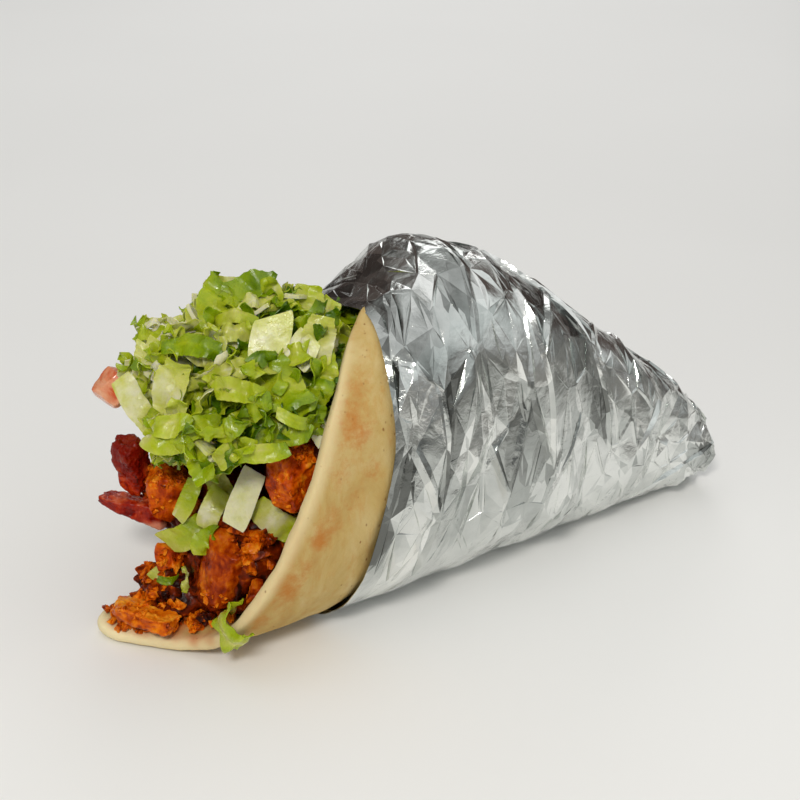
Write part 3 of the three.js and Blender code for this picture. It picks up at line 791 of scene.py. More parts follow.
def foil_stand_off(flat, lifts, ridges):
    """How far each point of the sheet stands off the bread, from the heights of its layers of creases."""
    along = flat[:, 0]
    height = height_share(flat[:, 1])
    spread = in_space(flat)
    upper = smoothstep(height + UPPER_WAVER * noise_at(spread, 9, 6.1), *UPPER_SIDE)
    hem = smoothstep(along, 0, HEM_WIDTH)
    patches = smoothstep(noise_at(spread, PATCH_SIZE, 3.3), -PATCH_EDGE, PATCH_EDGE)
    fold_lift, facet_lift, crinkle_lift = lifts
    calm = 1 - CALM_SHARE * (1 - smoothstep(along, *CALM_RUN)) * smoothstep(height, *CALM_HEIGHTS)
    creased = at_least(UNDER_SHARE, upper) * calm
    top = smoothstep(height, *TOP_HEIGHTS)
    lift = SLACK + UPPER_SLACK * upper * hem * calm
    lift += top * (PEAK_HEIGHT * np.exp(-(((along - PEAK_ALONG) / PEAK_SPREAD) ** 2)))
    lift -= top * TOP_DROP * smoothstep(along, PEAK_ALONG + PEAK_SPREAD, PEAK_ALONG + 3 * PEAK_SPREAD)
    lift += FOLD_HEIGHT * (1 - TOP_FOLD_LOSS * top) * fold_lift * creased * at_least(FOLD_AT_HEM, hem)
    facet_share = at_least(FACET_OFF_PATCH, patches) * at_least(FACET_AT_HEM, hem)
    lift += FACET_HEIGHT * facet_lift * creased * facet_share
    lift += CRINKLE_HEIGHT * crinkle_lift * at_least(CRINKLE_OFF_PATCH, patches)
    lift += ridge_height(ridges, flat) * creased * hem
    pressed = upper * smoothstep(along, *PRESSED_RUN)
    return STAND_OFF + np.maximum(lift, LEAST_LIFT - PRESSED_IN * pressed)


def make_foil():
    draw = np.random.default_rng(FOIL_SEED)
    folds = crease_layer(draw, *FOLD_STEP, FOLD_TURNS)
    facets = crease_layer(draw, *FACET_STEP, FACET_TURNS)
    crinkles = crease_layer(draw, *CRINKLE_STEP, CRINKLE_TURNS)
    layers = [folds, facets, crinkles]
    ridges = pinched_ridges(draw, folds, **FOLD_RIDGES) + pinched_ridges(draw, facets, **FACET_RIDGES)
    flat, faces = creased_sheet(layers, 2, ridges)
    lifts = [look_up(layer, flat)[0] for layer in layers]
    along, angle = flat[:, 0], flat[:, 1] / SHEET_RADIUS
    mouth = foil_mouth_x(angle)
    share = np.clip(along / SHEET_LENGTH, 0, 1)
    points = wrap_point(mouth + share * (FOIL_TAIL_X - mouth), angle, -foil_stand_off(flat, lifts, ridges))
    points[:, 2] -= far_sag(along, angle)
    closing = np.clip((along - SHEET_LENGTH) / SHEET_CLOSE, 0, 1)
    bulge = TAIL_BULGE * np.sin(math.pi * np.minimum(closing * TAIL_BULGE_RUN, 1) * TAIL_BULGE_TURN)
    points += (TAIL_POINT - points) * closing[:, None]
    points[:, 0] += bulge + TAIL_FOLDS * lifts[0] * np.sin(math.pi * closing)
    foil = new_piece("foil_sheet", points, faces)
    # Painted reflections and shade: a brightness for each face of the foil.
    set_values(foil, "facet", painted_facet_reflections([folds, facets], flat, faces), "FACE")
    merge_and_face_out(foil)
    apply_modifier(foil, "SOLIDIFY", thickness=FOIL_THICKNESS * MM, offset=-1)
    shade_smooth(foil, FOIL_CREASE_DEGREES)
    place_piece(foil, foil_finish(), "foil", "foil_wrap")


# Pita: a sheet of dough with soft thickness, its rim rounded, its face dimpled


def bend_dough(pita):
    """Lays a flat grid round the filling, and gives each point a share of the full thickness."""
    flat = points_of(pita)
    across = (flat[:, 0] + WRAP_SHIFT[0]) * MM + 0.5
    run = (flat[:, 1] + WRAP_SHIFT[1]) * MM + 0.5
    angle = np.interp(across, *PITA_COLUMNS)
    tip = smoothstep(-angle, *TIP_TURN)
    rim = pita_rim_x(angle) - RIM_FORWARD + TIP_DRAW * tip**TIP_SHARPNESS
    x = PITA_TAIL_X + (rim - PITA_TAIL_X) * (1 - (1 - run) ** PITA_ROWS_CROWD)
    before, behind = (foil_mouth_x(angle) + away for away in FOIL_SQUEEZE_RUN)
    in_foil = smoothstep(x, before, behind)
    outward = RIM_OUTWARD * (1 - smoothstep(x - rim, 0, RIM_TAPER))
    lifted = TIP_LIFT * tip * (1 - in_foil)
    inset = GAP + PITA_THICKNESS / 2 - outward - lifted + FOIL_SQUEEZE * in_foil
    move_points(pita, wrap_point(x, angle, inset))
    body = pita.vertex_groups.new(name="body")
    for number, share in enumerate(smoothstep(x - rim, RIM_TAPER_FROM, RIM_TAPER).tolist()):
        body.add([number], share, "REPLACE")


def note_bread_tones(pita, points):
    """Notes where the bread is sauced, toasted, paled at the rim with painted light at the lip, and freckled.
    """
    upper = smoothstep(points[:, 2], *SAUCE_HEIGHTS)
    from_sauce = np.linalg.norm((points - SAUCE_CENTRE) / SAUCE_REACH, axis=1)
    from_sauce += 0.5 * noise_at(points, 5, 1.0)
    set_values(pita, "sauce", SAUCE_STRENGTH * upper * smoothstep(-from_sauce, *SAUCE_EDGE))
    patchy = smoothstep(noise_at(points, FAR_TOAST_SIZE, 7.0), *FAR_TOAST_EDGE)
    toast = FAR_TOAST * patchy * smoothstep(points[:, 1], *FAR_TOAST_FROM_Y)
    for pixel, size, strength in TOASTED_SPOTS:
        spot, _ = spot_in_view(pixel, bread_tree)
        away = np.linalg.norm((points - spot) / (TOAST_STRETCH * size), axis=1)
        toast = np.maximum(toast, strength * np.exp(-(away**2)))
    set_values(pita, "toast", toast)
    angle = np.arctan2(points[:, 1], along_wrap(points[:, 0], STATION_TOP) / 2 - points[:, 2])
    behind_rim = points[:, 0] - pita_rim_x(angle)
    # The rim is paler, and brighter at the lip as painted light where the lip is shaded.
    pale_lit_rim = at_least(PALE_RIM_OFF_LIP, by_lip(angle))
    set_values(pita, "rim", pale_lit_rim * (1 - smoothstep(behind_rim, *PALE_RIM_WIDTH)))
    to_foil = foil_mouth_x(angle) - points[:, 0]
    set_values(pita, "freckle", FRECKLES * (1 - smoothstep(to_foil, *FRECKLE_WIDTH)))


def make_pita():
    bpy.ops.object.select_all(action="DESELECT")
    columns, rows = PITA_GRID
    bpy.ops.mesh.primitive_grid_add(x_subdivisions=columns, y_subdivisions=rows, size=1)
    pita = bpy.context.object
    pita.name = pita.data.name = "pita_bread"
    bend_dough(pita)
    whole = {"thickness": PITA_THICKNESS * MM, "offset": 0, "use_even_offset": True}
    apply_modifier(pita, "SOLIDIFY", **whole, vertex_group="body", thickness_vertex_group=RIM_SHARE)
    merge_and_face_out(pita)
    apply_modifier(pita, "SUBSURF", levels=2, render_levels=2)
    points = points_of(pita)
    dimple = sum(depth * noise_at(points, size, seed) for depth, size, seed in DIMPLES)
    moved = points + normals_of(pita) * dimple[:, None]
    moved[:, 2] = np.maximum(moved[:, 2], LEAST_HEIGHT)
    move_points(pita, moved)
    note_bread_tones(pita, points)
    shade_smooth(pita)
    place_piece(pita, bread_finish(), "bread", "pita")


# Chicken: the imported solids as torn, craggy meat


def squared(points, power, thin_end=1.0):
    """Points of a round piece drawn out to a block along its own axes, at the same size over all."""
    middle = (points.min(0) + points.max(0)) / 2
    _, _, axes = np.linalg.svd(points - points.mean(0), full_matrices=False)
    own = (points - middle) @ axes.T
    own /= np.abs(own).max(0)
    own *= np.linalg.norm(own, axis=1, keepdims=True) / np.linalg.norm(own, ord=power, axis=1, keepdims=True)
    own *= np.abs((points - middle) @ axes.T).max(0)
    side = np.sign(axes[0] @ view_right) * own[:, 0] / np.abs(own[:, 0]).max()
    own[:, 2] *= thin_end + (1 - thin_end) * smoothstep(side, -1.0, 0.6)
    block = own @ axes
    block -= (block.min(0) + block.max(0)) / 2
    return block * np.ptp(points, axis=0) / np.ptp(block, axis=0) + middle


def flat_cuts(points, draw, count, depth):
    """Points with flat faces cut into them like a dice, each up to so deep, at the same size over all."""
    middle = (points.min(0) + points.max(0)) / 2
    cut = points - middle
    sides, _ = np.linalg.qr(draw.normal(size=(3, 3)))
    for number in range(count):
        way = sides[number % 3] * (-1) ** (number // 3) + 0.28 * draw.normal(size=3)
        way /= np.linalg.norm(way)
        along = cut @ way
        beyond = np.maximum(0, along - along.max() + draw.uniform(0.3, 1.0) * depth)
        cut = cut - 0.92 * beyond[:, None] * way
    cut -= (cut.min(0) + cut.max(0)) / 2
    return cut * np.ptp(points, axis=0) / np.ptp(cut, axis=0) + middle


def tear(piece, seed, lump=0.5, knob=0.24, fibre=0.12, grain=0.05, along=(1, 1, 0.3)):
    """Roughens a piece into torn meat, and notes how high each point stands and how far it faces up, as
    painted light and shade.
    """
    points = points_of(piece)
    broad = noise_at(points, 4.5, seed)
    crumbly = smoothstep(noise_at(points, 6.0, seed + 3) + 0.5 * normals_of(piece)[:, 2], -0.3, 0.5)
    knobs = noise_at(points, 2.6, seed + 5) + 0.6 * noise_at(points, 1.1, seed + 6)
    strand = noise_at(points, 0.8, seed + 9, along)
    fine = noise_at(points, 0.42, seed + 13)
    detail = knob * (0.35 + crumbly) * knobs + fibre * (1.2 - crumbly) * strand + grain * fine
    moved = points + normals_of(piece) * (lump * broad + detail)[:, None]
    moved[:, 2] = np.maximum(moved[:, 2], 0.05)
    move_points(piece, moved)
    # Painted light and shade: darker in hollows, lighter on peaks and on faces turned up.
    painted_crag_light = 0.46 + 0.42 * detail / (knob + fibre) + 0.2 * normals_of(piece)[:, 2]
    set_values(piece, "painted_crag_light", np.clip(painted_crag_light, 0, 1))


# Meat tones: painted shade in the crevices, then flesh and crust, then painted light on the peaks.
ORANGE_MEAT = (colour(102, 18, 0), colour(176, 60, 0), colour(212, 94, 2), colour(242, 146, 28))
LIGHT_MEAT = (colour(112, 26, 0), colour(192, 80, 2), colour(226, 118, 10), colour(250, 170, 50))
BROWN_MEAT = (colour(72, 12, 0), colour(138, 40, 0), colour(178, 70, 2), colour(216, 118, 20))
CHARRED_MEAT = (colour(92, 6, 0), colour(164, 36, 6), colour(192, 66, 18), colour(222, 112, 50))
RED_MEAT = (colour(92, 2, 0), colour(140, 18, 0), colour(168, 44, 10), colour(206, 100, 60))
SAUCED_MEAT = (colour(34, 5, 0), colour(120, 36, 0), colour(206, 92, 2), colour(244, 150, 34))


MEAT_VOXEL = 0.34
STRIP_GRAIN = (0.4, 0.5, 1)
SLICE_THIN_END = 0.35
# Scorched top of one piece, and a paler cut edge with a painted wet glint along the underside of another:
# strength, and heights between which it fades in
SCORCH = 0.85
SCORCH_HEIGHTS = (0.3, 0.5)
SLICE_GLINT = 0.8
SLICE_GLINT_HEIGHTS = (-0.4, -0.1)
TONE_WAVER = 0.25


class MeatLook(NamedTuple):
    """How a solid becomes a torn piece of chicken."""

    finish: bpy.types.Material
    power: float  # 2 for a round piece, more for a block
    cuts: int  # flat faces
    depth: float  # of the deepest cut, in mm
    rounding: int  # passes that soften the cuts
    torn: dict
    thin_end: float = 1.0  # thickness left at its left end


def make_chicken_pieces():
    """The pieces large enough to pick out, and a search tree over them."""
    orange = chicken_finish("chicken_orange", ORANGE_MEAT)
    light = chicken_finish("chicken_light", LIGHT_MEAT)
    brown = chicken_finish("chicken_browned", BROWN_MEAT, gloss=(0.2, 0.42))
    charred = chicken_finish("chicken_charred", CHARRED_MEAT, char=0.35, shine=0.15, gloss=(0.1, 0.28))
    red = chicken_finish("chicken_red", RED_MEAT, shine=0.2, gloss=(0.12, 0.35), grain_way=(0.4, 0.7, 1))
    looks = {
        "chicken_charred": MeatLook(charred, 6.0, 6, 1.6, 2, {"knob": 0.5, "grain": 0.2}),
        "chicken_slice": MeatLook(
            red, 4.0, 4, 1.4, 2, {"knob": 0.35, "lump": 0.6, "grain": 0.1}, SLICE_THIN_END
        ),
        "chicken_left": MeatLook(orange, 4.0, 6, 3.6, 2, {"knob": 0.34, "grain": 0.12}),
        "chicken_right": MeatLook(orange, 4.0, 6, 4.0, 2, {"knob": 0.4, "grain": 0.14}),
        "chicken_large": MeatLook(brown, 2.3, 3, 4.0, 10, {"knob": 0.2, "lump": 0.9}),
        "chicken_small": MeatLook(orange, 3.0, 6, 3.0, 2, {"knob": 0.4, "grain": 0.12}),
        "chicken_strip": MeatLook(
            light, 2.8, 5, 2.6, 2, {"knob": 0.32, "fibre": 0.45, "along": STRIP_GRAIN}
        ),
        "chicken_edge": MeatLook(brown, 2.5, 5, 3.0, 3, {"knob": 0.3}),
    }
    draw = np.random.default_rng(53)
    all_points, all_faces = [], []
    for order, (node, look) in enumerate(looks.items()):
        piece = copy_of_solid(node.replace("chicken", "meat"), node)
        apply_modifier(piece, "REMESH", mode="VOXEL", voxel_size=MEAT_VOXEL * MM)
        apply_modifier(piece, "SMOOTH", factor=0.5, iterations=2)
        block = squared(points_of(piece), look.power, look.thin_end)
        move_points(piece, flat_cuts(block, draw, look.cuts, look.depth))
        apply_modifier(piece, "SMOOTH", factor=0.5, iterations=look.rounding)
        tear(piece, 3.7 * (order + 1), **look.torn)
        points = points_of(piece)
        height = (points[:, 2] - points[:, 2].min()) / np.ptp(points[:, 2])
        uneven = TONE_WAVER * noise_at(points, 3.0, order)
        scorch = SCORCH if node == "chicken_charred" else 0
        # Painted wet glint along the slice's lower edge.
        pale = SLICE_GLINT if node == "chicken_slice" else 0
        set_values(piece, "scorch", scorch * smoothstep(height + uneven, *SCORCH_HEIGHTS))
        set_values(piece, "pale", pale * smoothstep(-height + uneven, *SLICE_GLINT_HEIGHTS))
        shade_smooth(piece)
        place_piece(piece, look.finish, "chicken", node)
        all_faces += [[len(all_points) + corner for corner in face.vertices] for face in piece.data.polygons]
        all_points += points.tolist()
    return BVHTree.FromPolygons(all_points, all_faces)


def torn_bit(draw, ball, size):
    """Points of one small torn bit about the origin, and how high each stands, lighter on its bumps as
    painted light.
    """
    seed = draw.uniform(0, 50)
    stretch = np.array([1.0, draw.uniform(0.55, 0.9), draw.uniform(0.45, 0.75)])
    block = flat_cuts(ball / np.linalg.norm(ball, ord=4, axis=1, keepdims=True), draw, 6, 0.9)
    bump = 0.26 * noise_at(ball, 0.7, seed) + 0.16 * noise_at(ball, 0.32, seed)
    bump += 0.06 * noise_at(ball, 0.15, seed)
    return block * (0.95 + bump[:, None]) * stretch * size / 2, np.clip(0.6 + 1.2 * bump, 0, 1)


def turned(draw, points):
    """Points turned any way about the origin."""
    spin, _ = np.linalg.qr(draw.normal(size=(3, 3)))
    if np.linalg.det(spin) < 0:
        spin[:, 0] *= -1
    return points @ spin.T


def ball_mesh(subdivisions):
    bpy.ops.object.select_all(action="DESELECT")
    bpy.ops.mesh.primitive_ico_sphere_add(subdivisions=subdivisions, radius=1)
    ball = bpy.context.object
    points = np.array([tuple(vertex.co) for vertex in ball.data.vertices])
    faces = np.array([tuple(face.vertices) for face in ball.data.polygons])
    mesh = ball.data
    bpy.data.objects.remove(ball)
    bpy.data.meshes.remove(mesh)
    return points, faces


SAUCED_VOXEL = 1.0
SAUCED_SHADE = 0.4  # painted shade: how much darker the sauce between the bits is
BIT_CREASE_DEGREES = 40
# Where small bits show in the photograph: centre, half width and height, how many, sizes, brightness, kept
# low in the first patch as painted shade in the dark gap
BIT_PATCHES = [
    ((185, 598), (24, 24), 18, (3.0, 7.0), (0.08, 0.35)),
    ((152, 583), (17, 22), 34, (2.2, 6.0), (0.75, 1.2)),
    ((146, 616), (40, 13), 40, (1.8, 5.0), (0.85, 1.25)),
    ((210, 622), (24, 9), 24, (2.2, 5.5), (0.85, 1.25)),
    ((256, 548), (14, 22), 16, (3.0, 7.0), (0.6, 1.0)),
]
# Bits on the far side of the heap: tries, where they are thrown from and how little they face the camera
FAR_BITS = 260
FAR_BITS_FROM_X = -150
FAR_BITS_ACROSS = (-10, 45)
FAR_BITS_HEIGHT = (7, 50)
FAR_BITS_SLANT = -0.6
FAR_BITS_FACING = 0.35
FAR_BITS_SIZES = (2.5, 6.5)
FAR_BITS_BRIGHTNESS = (0.6, 1.2)
# Where crumbs stick to the larger pieces
CRUMB_PATCHES = [
    ((296, 448), (24, 16), 46, (1.0, 3.2), (0.9, 1.3)),
    ((290, 490), (18, 18), 12, (0.8, 2.0), (1.1, 1.5)),
    ((168, 474), (24, 12), 34, (1.0, 2.8), (0.9, 1.3)),
    ((166, 500), (18, 16), 10, (0.8, 2.0), (1.1, 1.5)),
    ((246, 540), (14, 14), 16, (1.0, 2.6), (0.8, 1.2)),
    ((225, 600), (24, 12), 20, (1.0, 2.6), (0.8, 1.3)),
    ((145, 614), (38, 12), 30, (1.0, 2.6), (0.9, 1.3)),
    ((172, 560), (12, 12), 16, (1.0, 2.6), (0.8, 1.2)),
]


def seen_spots(draw, patches, tree):
    """Places on a tree's faces for the bits that the photograph shows, each with its size and brightness."""
    for centre, half, number, sizes, brightness in patches:
        for _ in range(number):
            spot, normal = spot_in_view(np.array(centre) + half * draw.uniform(-1, 1, 2), tree)
            yield spot, normal, draw.uniform(*sizes), draw.uniform(*brightness)


def far_spots(draw, tree):
    """Places on the sauced heap's far side for bits like those that show."""
    for _ in range(FAR_BITS):
        start = Vector((FAR_BITS_FROM_X, draw.uniform(*FAR_BITS_ACROSS), draw.uniform(*FAR_BITS_HEIGHT)))
        spot, normal, _, _ = tree.ray_cast(start, Vector((1, draw.uniform(FAR_BITS_SLANT, 0), 0)))
        if spot is not None and normal @ Vector(VIEW_BACK) < FAR_BITS_FACING:
            sizes = draw.uniform(*FAR_BITS_SIZES), draw.uniform(*FAR_BITS_BRIGHTNESS)
            yield np.array(spot), np.array(normal), *sizes


def scatter_bits(name, draw, form, spots, finish):
    """Torn bits at some places, joined into one piece."""
    form_points, form_faces = form
    points, faces, heights = [], [], []
    for spot, normal, size, brightness in spots:
        if spot is None or (normal[2] < 0.5 and bread_tree.find_nearest(Vector(spot))[3] < 0.05):
            continue
        bit, height = torn_bit(draw, form_points, size)
        faces.append(form_faces + len(points) * len(form_points))
        lift = draw.uniform(-0.1, 0.12) * np.ptp(bit[:, 0])
        points.append(turned(draw, bit) + spot + normal * lift)
        heights.append(height * brightness)
    bits = new_piece(name, np.concatenate(points), np.concatenate(faces).tolist())
    set_values(bits, "painted_crag_light", np.clip(np.concatenate(heights), 0, 1))
    shade_smooth(bits, BIT_CREASE_DEGREES)
    place_piece(bits, finish, "sauced_chicken")


def make_chicken_heap(pieces_tree):
    sauced = chicken_finish("sauced_chicken", SAUCED_MEAT, shine=0.09, gloss=(0.2, 0.45))
    core = copy_of_solid("sauced_core", "chicken_bed")
    apply_modifier(core, "REMESH", mode="VOXEL", voxel_size=SAUCED_VOXEL * MM)
    apply_modifier(core, "SMOOTH", factor=0.5, iterations=3)
    tear(core, 71.0, lump=0.8, knob=0.6, fibre=0.4, grain=0.2)
    # Painted shade: the sauce between the bits is made darker.
    painted_crag_light = core.data.attributes["painted_crag_light"]
    height = np.empty(len(core.data.vertices), np.float32)
    painted_crag_light.data.foreach_get("value", height)
    painted_crag_light.data.foreach_set("value", height * SAUCED_SHADE)
    shade_smooth(core)
    place_piece(core, sauced, "sauced_chicken", "chicken_bed")
    draw = np.random.default_rng(29)
    crumb = ball_mesh(3)
    scatter_bits("chicken_bits", draw, ball_mesh(4), seen_spots(draw, BIT_PATCHES, lip_tree), sauced)
    scatter_bits("chicken_crumbs", draw, crumb, seen_spots(draw, CRUMB_PATCHES, pieces_tree), sauced)
    scatter_bits("chicken_far_bits", draw, crumb, far_spots(draw, solid_tree(["chicken_bed"])), sauced)


# Lettuce: leaf pieces on a dark core that paints the shade between them

LEAF_ROWS = 24
LEAF_COLUMNS = 7
LEAF_THICKNESS = 0.28
RIB_THICKNESS = 1.1
LEAF_CREASE_DEGREES = 38
RUFFLE_LENGTH = 6.5
EDGE_WAVES = ((3.1, 2.1), (2.6, 1.8))  # lengths of the waves and the tears along its two edges
EDGE_WAVER = (0.03, 0.07)  # of a clean cut, and what a frilly leaf adds
EDGE_TEAR = 0.08
END_SLANT = 0.45
CALM_MIDDLE = 0.35  # height of the waves along its middle, as a share of that at its edges
RIB_PLACES = (0.0, 0.35, 0.5)  # where along a shred the leaf's rib lies
VEIN_STEP = 1.3
VEIN_WIDTH = 0.2
# Loose shreds, spread evenly over the mound and pushed in till they clear the bread
LOOSE_LEAVES = 760
LOOSE_DEPTHS = (-0.06, 0.2)
LOOSE_TRIES = 6
LOOSE_PUSH = 0.09
LOOSE_TOUCH = 0.05  # share of a shred that may be in the bread
LOOSE_HIDES = 0.04  # or over what is kept clear
# Greener from the left of the heap to its right and towards its foot: pixels of the photograph and strength
GREENER_ACROSS = (150, 270)
GREENER_DOWN = (340, 410)
GREENER_BY = (0.4, 0.12)
GREENER_MIDDLE = 0.65
# The dark core under the shreds, painted shade between them: its size as a share of the mound, its lumps and
# how far it stays off the chicken
CORE_SHARE = 0.78
CORE_LUMPS = 0.05
CORE_FOOT = 7


class LeafKind(NamedTuple):
    """A kind of shred, cut across a leaf: its bends in radians from end to end, its waves and its cut."""

    curl: float  # out of its plane
    wander: float  # back and forth out of its plane
    sway: float  # in its plane
    twist: float
    fold: float  # how steeply its sides rise from its middle
    ruffle: float  # height of the waves at its leafy end, in mm
    blunt: float  # how round its ends are cut
    lengths: tuple  # shortest and longest of the loose ones
    widths: tuple
    share: float  # of the loose ones


LEAF_KINDS = {
    "frill": LeafKind(1.0, 0.5, 0.5, 1.4, 0.25, 1.7, 0.2, (14, 28), (2.8, 5.2), 0.48),
    "blade": LeafKind(0.8, 0.35, 0.3, 0.9, 0.35, 1.1, 0.16, (11, 22), (3.6, 7.0), 0.28),
    "ribbon": LeafKind(2.6, 0.4, 0.3, 1.6, 0.2, 0.7, 0.14, (14, 24), (2.6, 4.6), 0.14),
    "rib": LeafKind(0.2, 0.05, 0.0, 0.1, 0.0, 0.08, 0.06, (6, 12), (3.0, 5.5), 0.1),
    "strip": LeafKind(0.9, 0.2, 0.15, 0.9, 0.1, 0.55, 0.07, (9, 15), (4.0, 6.0), 0.0),
}
# Tones of the loose shreds at their rib, from pale to green
LOOSE_TONES = ((0.0, 0.12), (0.12, 0.3), (0.25, 0.45), (0.4, 0.65))


def zigzag(turns):
    """A wave of straight flanks from -1 to 1, with sharp turns."""
    return 4 * np.abs(turns % 1 - 0.5) - 1


def leaf_sheet(draw, length, width, kind, curl_share=1.0, fold_share=1.0, twist_share=1.0):
    """A grid of points of one shred of leaf, how far each is from the leaf's rib, and its veins."""
    s = np.linspace(0, 1, LEAF_ROWS)
    t = np.linspace(-1, 1, LEAF_COLUMNS)
    phase = draw.uniform(0, 1, 12)
    wander = kind.wander * np.sin(2 * math.pi * (s * draw.uniform(0.7, 1.6) + phase[0]))
    kink = 2 * kind.wander * draw.uniform(-1, 1) * smoothstep(s, phase[1] - 0.06, phase[1] + 0.06)
    pitch = curl_share * kind.curl * (s - 0.5) + wander + kink
    heading = kind.sway * np.sin(math.pi * s + 2 * math.pi * phase[2])
    roll = twist_share * kind.twist * (s - 0.5) * draw.choice([-1, 1])
    ahead = np.stack([np.cos(pitch) * np.cos(heading), np.cos(pitch) * np.sin(heading), np.sin(pitch)], -1)
    up = np.stack([-np.sin(pitch) * np.cos(heading), -np.sin(pitch) * np.sin(heading), np.cos(pitch)], -1)
    side = np.cross(up, ahead)
    side, up = (
        side * np.cos(roll)[:, None] + up * np.sin(roll)[:, None],
        up * np.cos(roll)[:, None] - side * np.sin(roll)[:, None],
    )
    line = np.cumsum(ahead, axis=0) * length / LEAF_ROWS
    taper = np.sin(math.pi * (0.02 + 0.96 * s)) ** kind.blunt
    run = length * s
    frilly = min(1.0, kind.ruffle)
    torn = EDGE_TEAR * frilly * s
    waver = EDGE_WAVER[0] + EDGE_WAVER[1] * frilly
    left, right = (
        taper * (1 + waver * np.sin(run / sweep + 6 * phase[n]) + torn * zigzag(run / tooth + phase[n + 1]))
        for n, (sweep, tooth) in zip((3, 5), EDGE_WAVES)
    )
    flat = np.where(t < 0, left[:, None], right[:, None]) * t * width / 2
    rib = draw.choice(RIB_PLACES)
    leafy = np.broadcast_to((np.abs(s - rib) / (1 - rib))[:, None], flat.shape)
    turns = run[:, None] / RUFFLE_LENGTH
    wave = np.sin(2 * math.pi * (turns + 0.24 * t + phase[7]))
    wave = wave + 0.5 * zigzag(1.7 * turns - 0.3 * t + phase[8])
    wave = wave * at_least(CALM_MIDDLE, np.abs(t - 0.6 * (phase[9] - 0.5)))
    lift = fold_share * kind.fold * np.abs(flat) + kind.ruffle * (0.3 + 0.7 * leafy) * wave
    slant = draw.uniform(-END_SLANT, END_SLANT) * flat
    points = line[:, None] + side[:, None] * flat[..., None] + up[:, None] * lift[..., None]
    points = points + ahead[:, None] * slant[..., None]
    fan = t * width * (0.5 - 0.15 * leafy) / VEIN_STEP + phase[10]
    vein = np.clip(1 - np.abs(fan % 1 - 0.5) / VEIN_WIDTH, 0, 1) * (1 - 0.7 * leafy)
    return points - points.reshape(-1, 3).mean(0), leafy, vein


def thick_sheet(points, thickness):
    """Closed points and faces of a sheet of even thickness, from its middle grid."""
    rows, columns = points.shape[:2]
    normal = np.cross(np.gradient(points, axis=0), np.gradient(points, axis=1))
    normal /= np.linalg.norm(normal, axis=-1, keepdims=True) + 1e-9
    both = np.concatenate([points + normal * thickness / 2, points - normal * thickness / 2]).reshape(-1, 3)
    number = np.arange(rows * columns).reshape(rows, columns)
    quads = np.stack([number[:-1, :-1], number[1:, :-1], number[1:, 1:], number[:-1, 1:]], -1).reshape(-1, 4)
    under = quads[:, ::-1] + rows * columns
    ring = np.concatenate([number[0, :-1], number[:-1, -1], number[-1, :0:-1], number[:0:-1, 0]])
    following = np.roll(ring, -1)
    wall = np.stack([ring, following, following + rows * columns, ring + rows * columns], -1)
    return both, np.concatenate([quads, under, wall])


def in_bread(points):
    """How many of some points run into the bread or the foil."""
    x, y, z = points.T
    top = along_wrap(x, STATION_TOP)
    inset = GAP + PITA_THICKNESS - 1.0
    middle = top / 2
    upward = (z - middle) / (top / 2 - inset)
    across = (y + LEAN * np.maximum(0, upward) ** 2) / (along_wrap(x, STATION_HALF_WIDTH) - inset)
    angle = np.arctan2(across, -upward)
    beyond = np.abs(across) ** SECTION_POWER + np.abs(upward) ** SECTION_POWER > 1
    bread = (x > pita_rim_x(angle) - 0.5) & (angle > PITA_NEAR_ANGLE - 0.1) & (angle < PITA_FAR_ANGLE)
    foil = x > foil_mouth_x(angle) - 1
    return np.count_nonzero(beyond & (bread | foil))


def pixels_of(points):
    """Where points show in the photograph."""
    half = PHOTO_WIDTH / 2
    seen = points - view_from
    scale = LENS / (SENSOR / 2) * PHOTO_WIDTH / 2 / (seen @ view_forward)
    return np.stack([half + seen @ view_right * scale, half - seen @ view_up * scale], 1)


def hides_any(points, ovals):
    """Whether points hide more than a little of some ovals in the photograph."""
    pixels = pixels_of(points)
    shares = ((np.linalg.norm((pixels - centre) / half, axis=1) < 1).mean() for centre, half in ovals)
    return any(share > LOOSE_HIDES for share in shares)


class LeafHeap:
    """Gathers leaf pieces into one mesh."""

    def __init__(self, thickness):
        self.thickness = thickness
        self.points, self.faces, self.tone, self.vein = [], [], [], []
        self.count = 0

    def add(self, draw, place, length_way, facing, sheet, tones, kept_clear=()):
        points, leafy, vein = sheet
        out = facing / np.linalg.norm(facing)
        side = np.cross(out, length_way)
        side /= np.linalg.norm(side)
        axes = np.stack([np.cross(side, out), side, out])
        for _ in range(LOOSE_TRIES):
            body, faces = thick_sheet(points @ axes + place, self.thickness)
            if in_bread(body) < LOOSE_TOUCH * len(body) and not hides_any(body, kept_clear):
                tone = tones[0] + (tones[1] - tones[0]) * leafy + 0.05 * draw.normal()
                self.join(body, faces, tone, vein)
                return
            place = place + (MOUND_CENTRE - place) * LOOSE_PUSH - np.array([1.0, 0, 0])

    def join(self, body, faces, tone, vein):
        self.points.append(body)
        self.faces.append(faces + self.count)
        self.tone.append(np.tile(tone.ravel(), 2))
        self.vein.append(np.tile(vein.ravel(), 2))
        self.count += len(body)

    def make(self, name, finish, *nodes):
        heap = new_piece(name, np.concatenate(self.points), np.concatenate(self.faces).tolist())
        set_values(heap, "tone", np.concatenate(self.tone))
        set_values(heap, "vein", np.concatenate(self.vein))
        shade_smooth(heap, LEAF_CREASE_DEGREES)
        place_piece(heap, finish, "lettuce", *nodes)


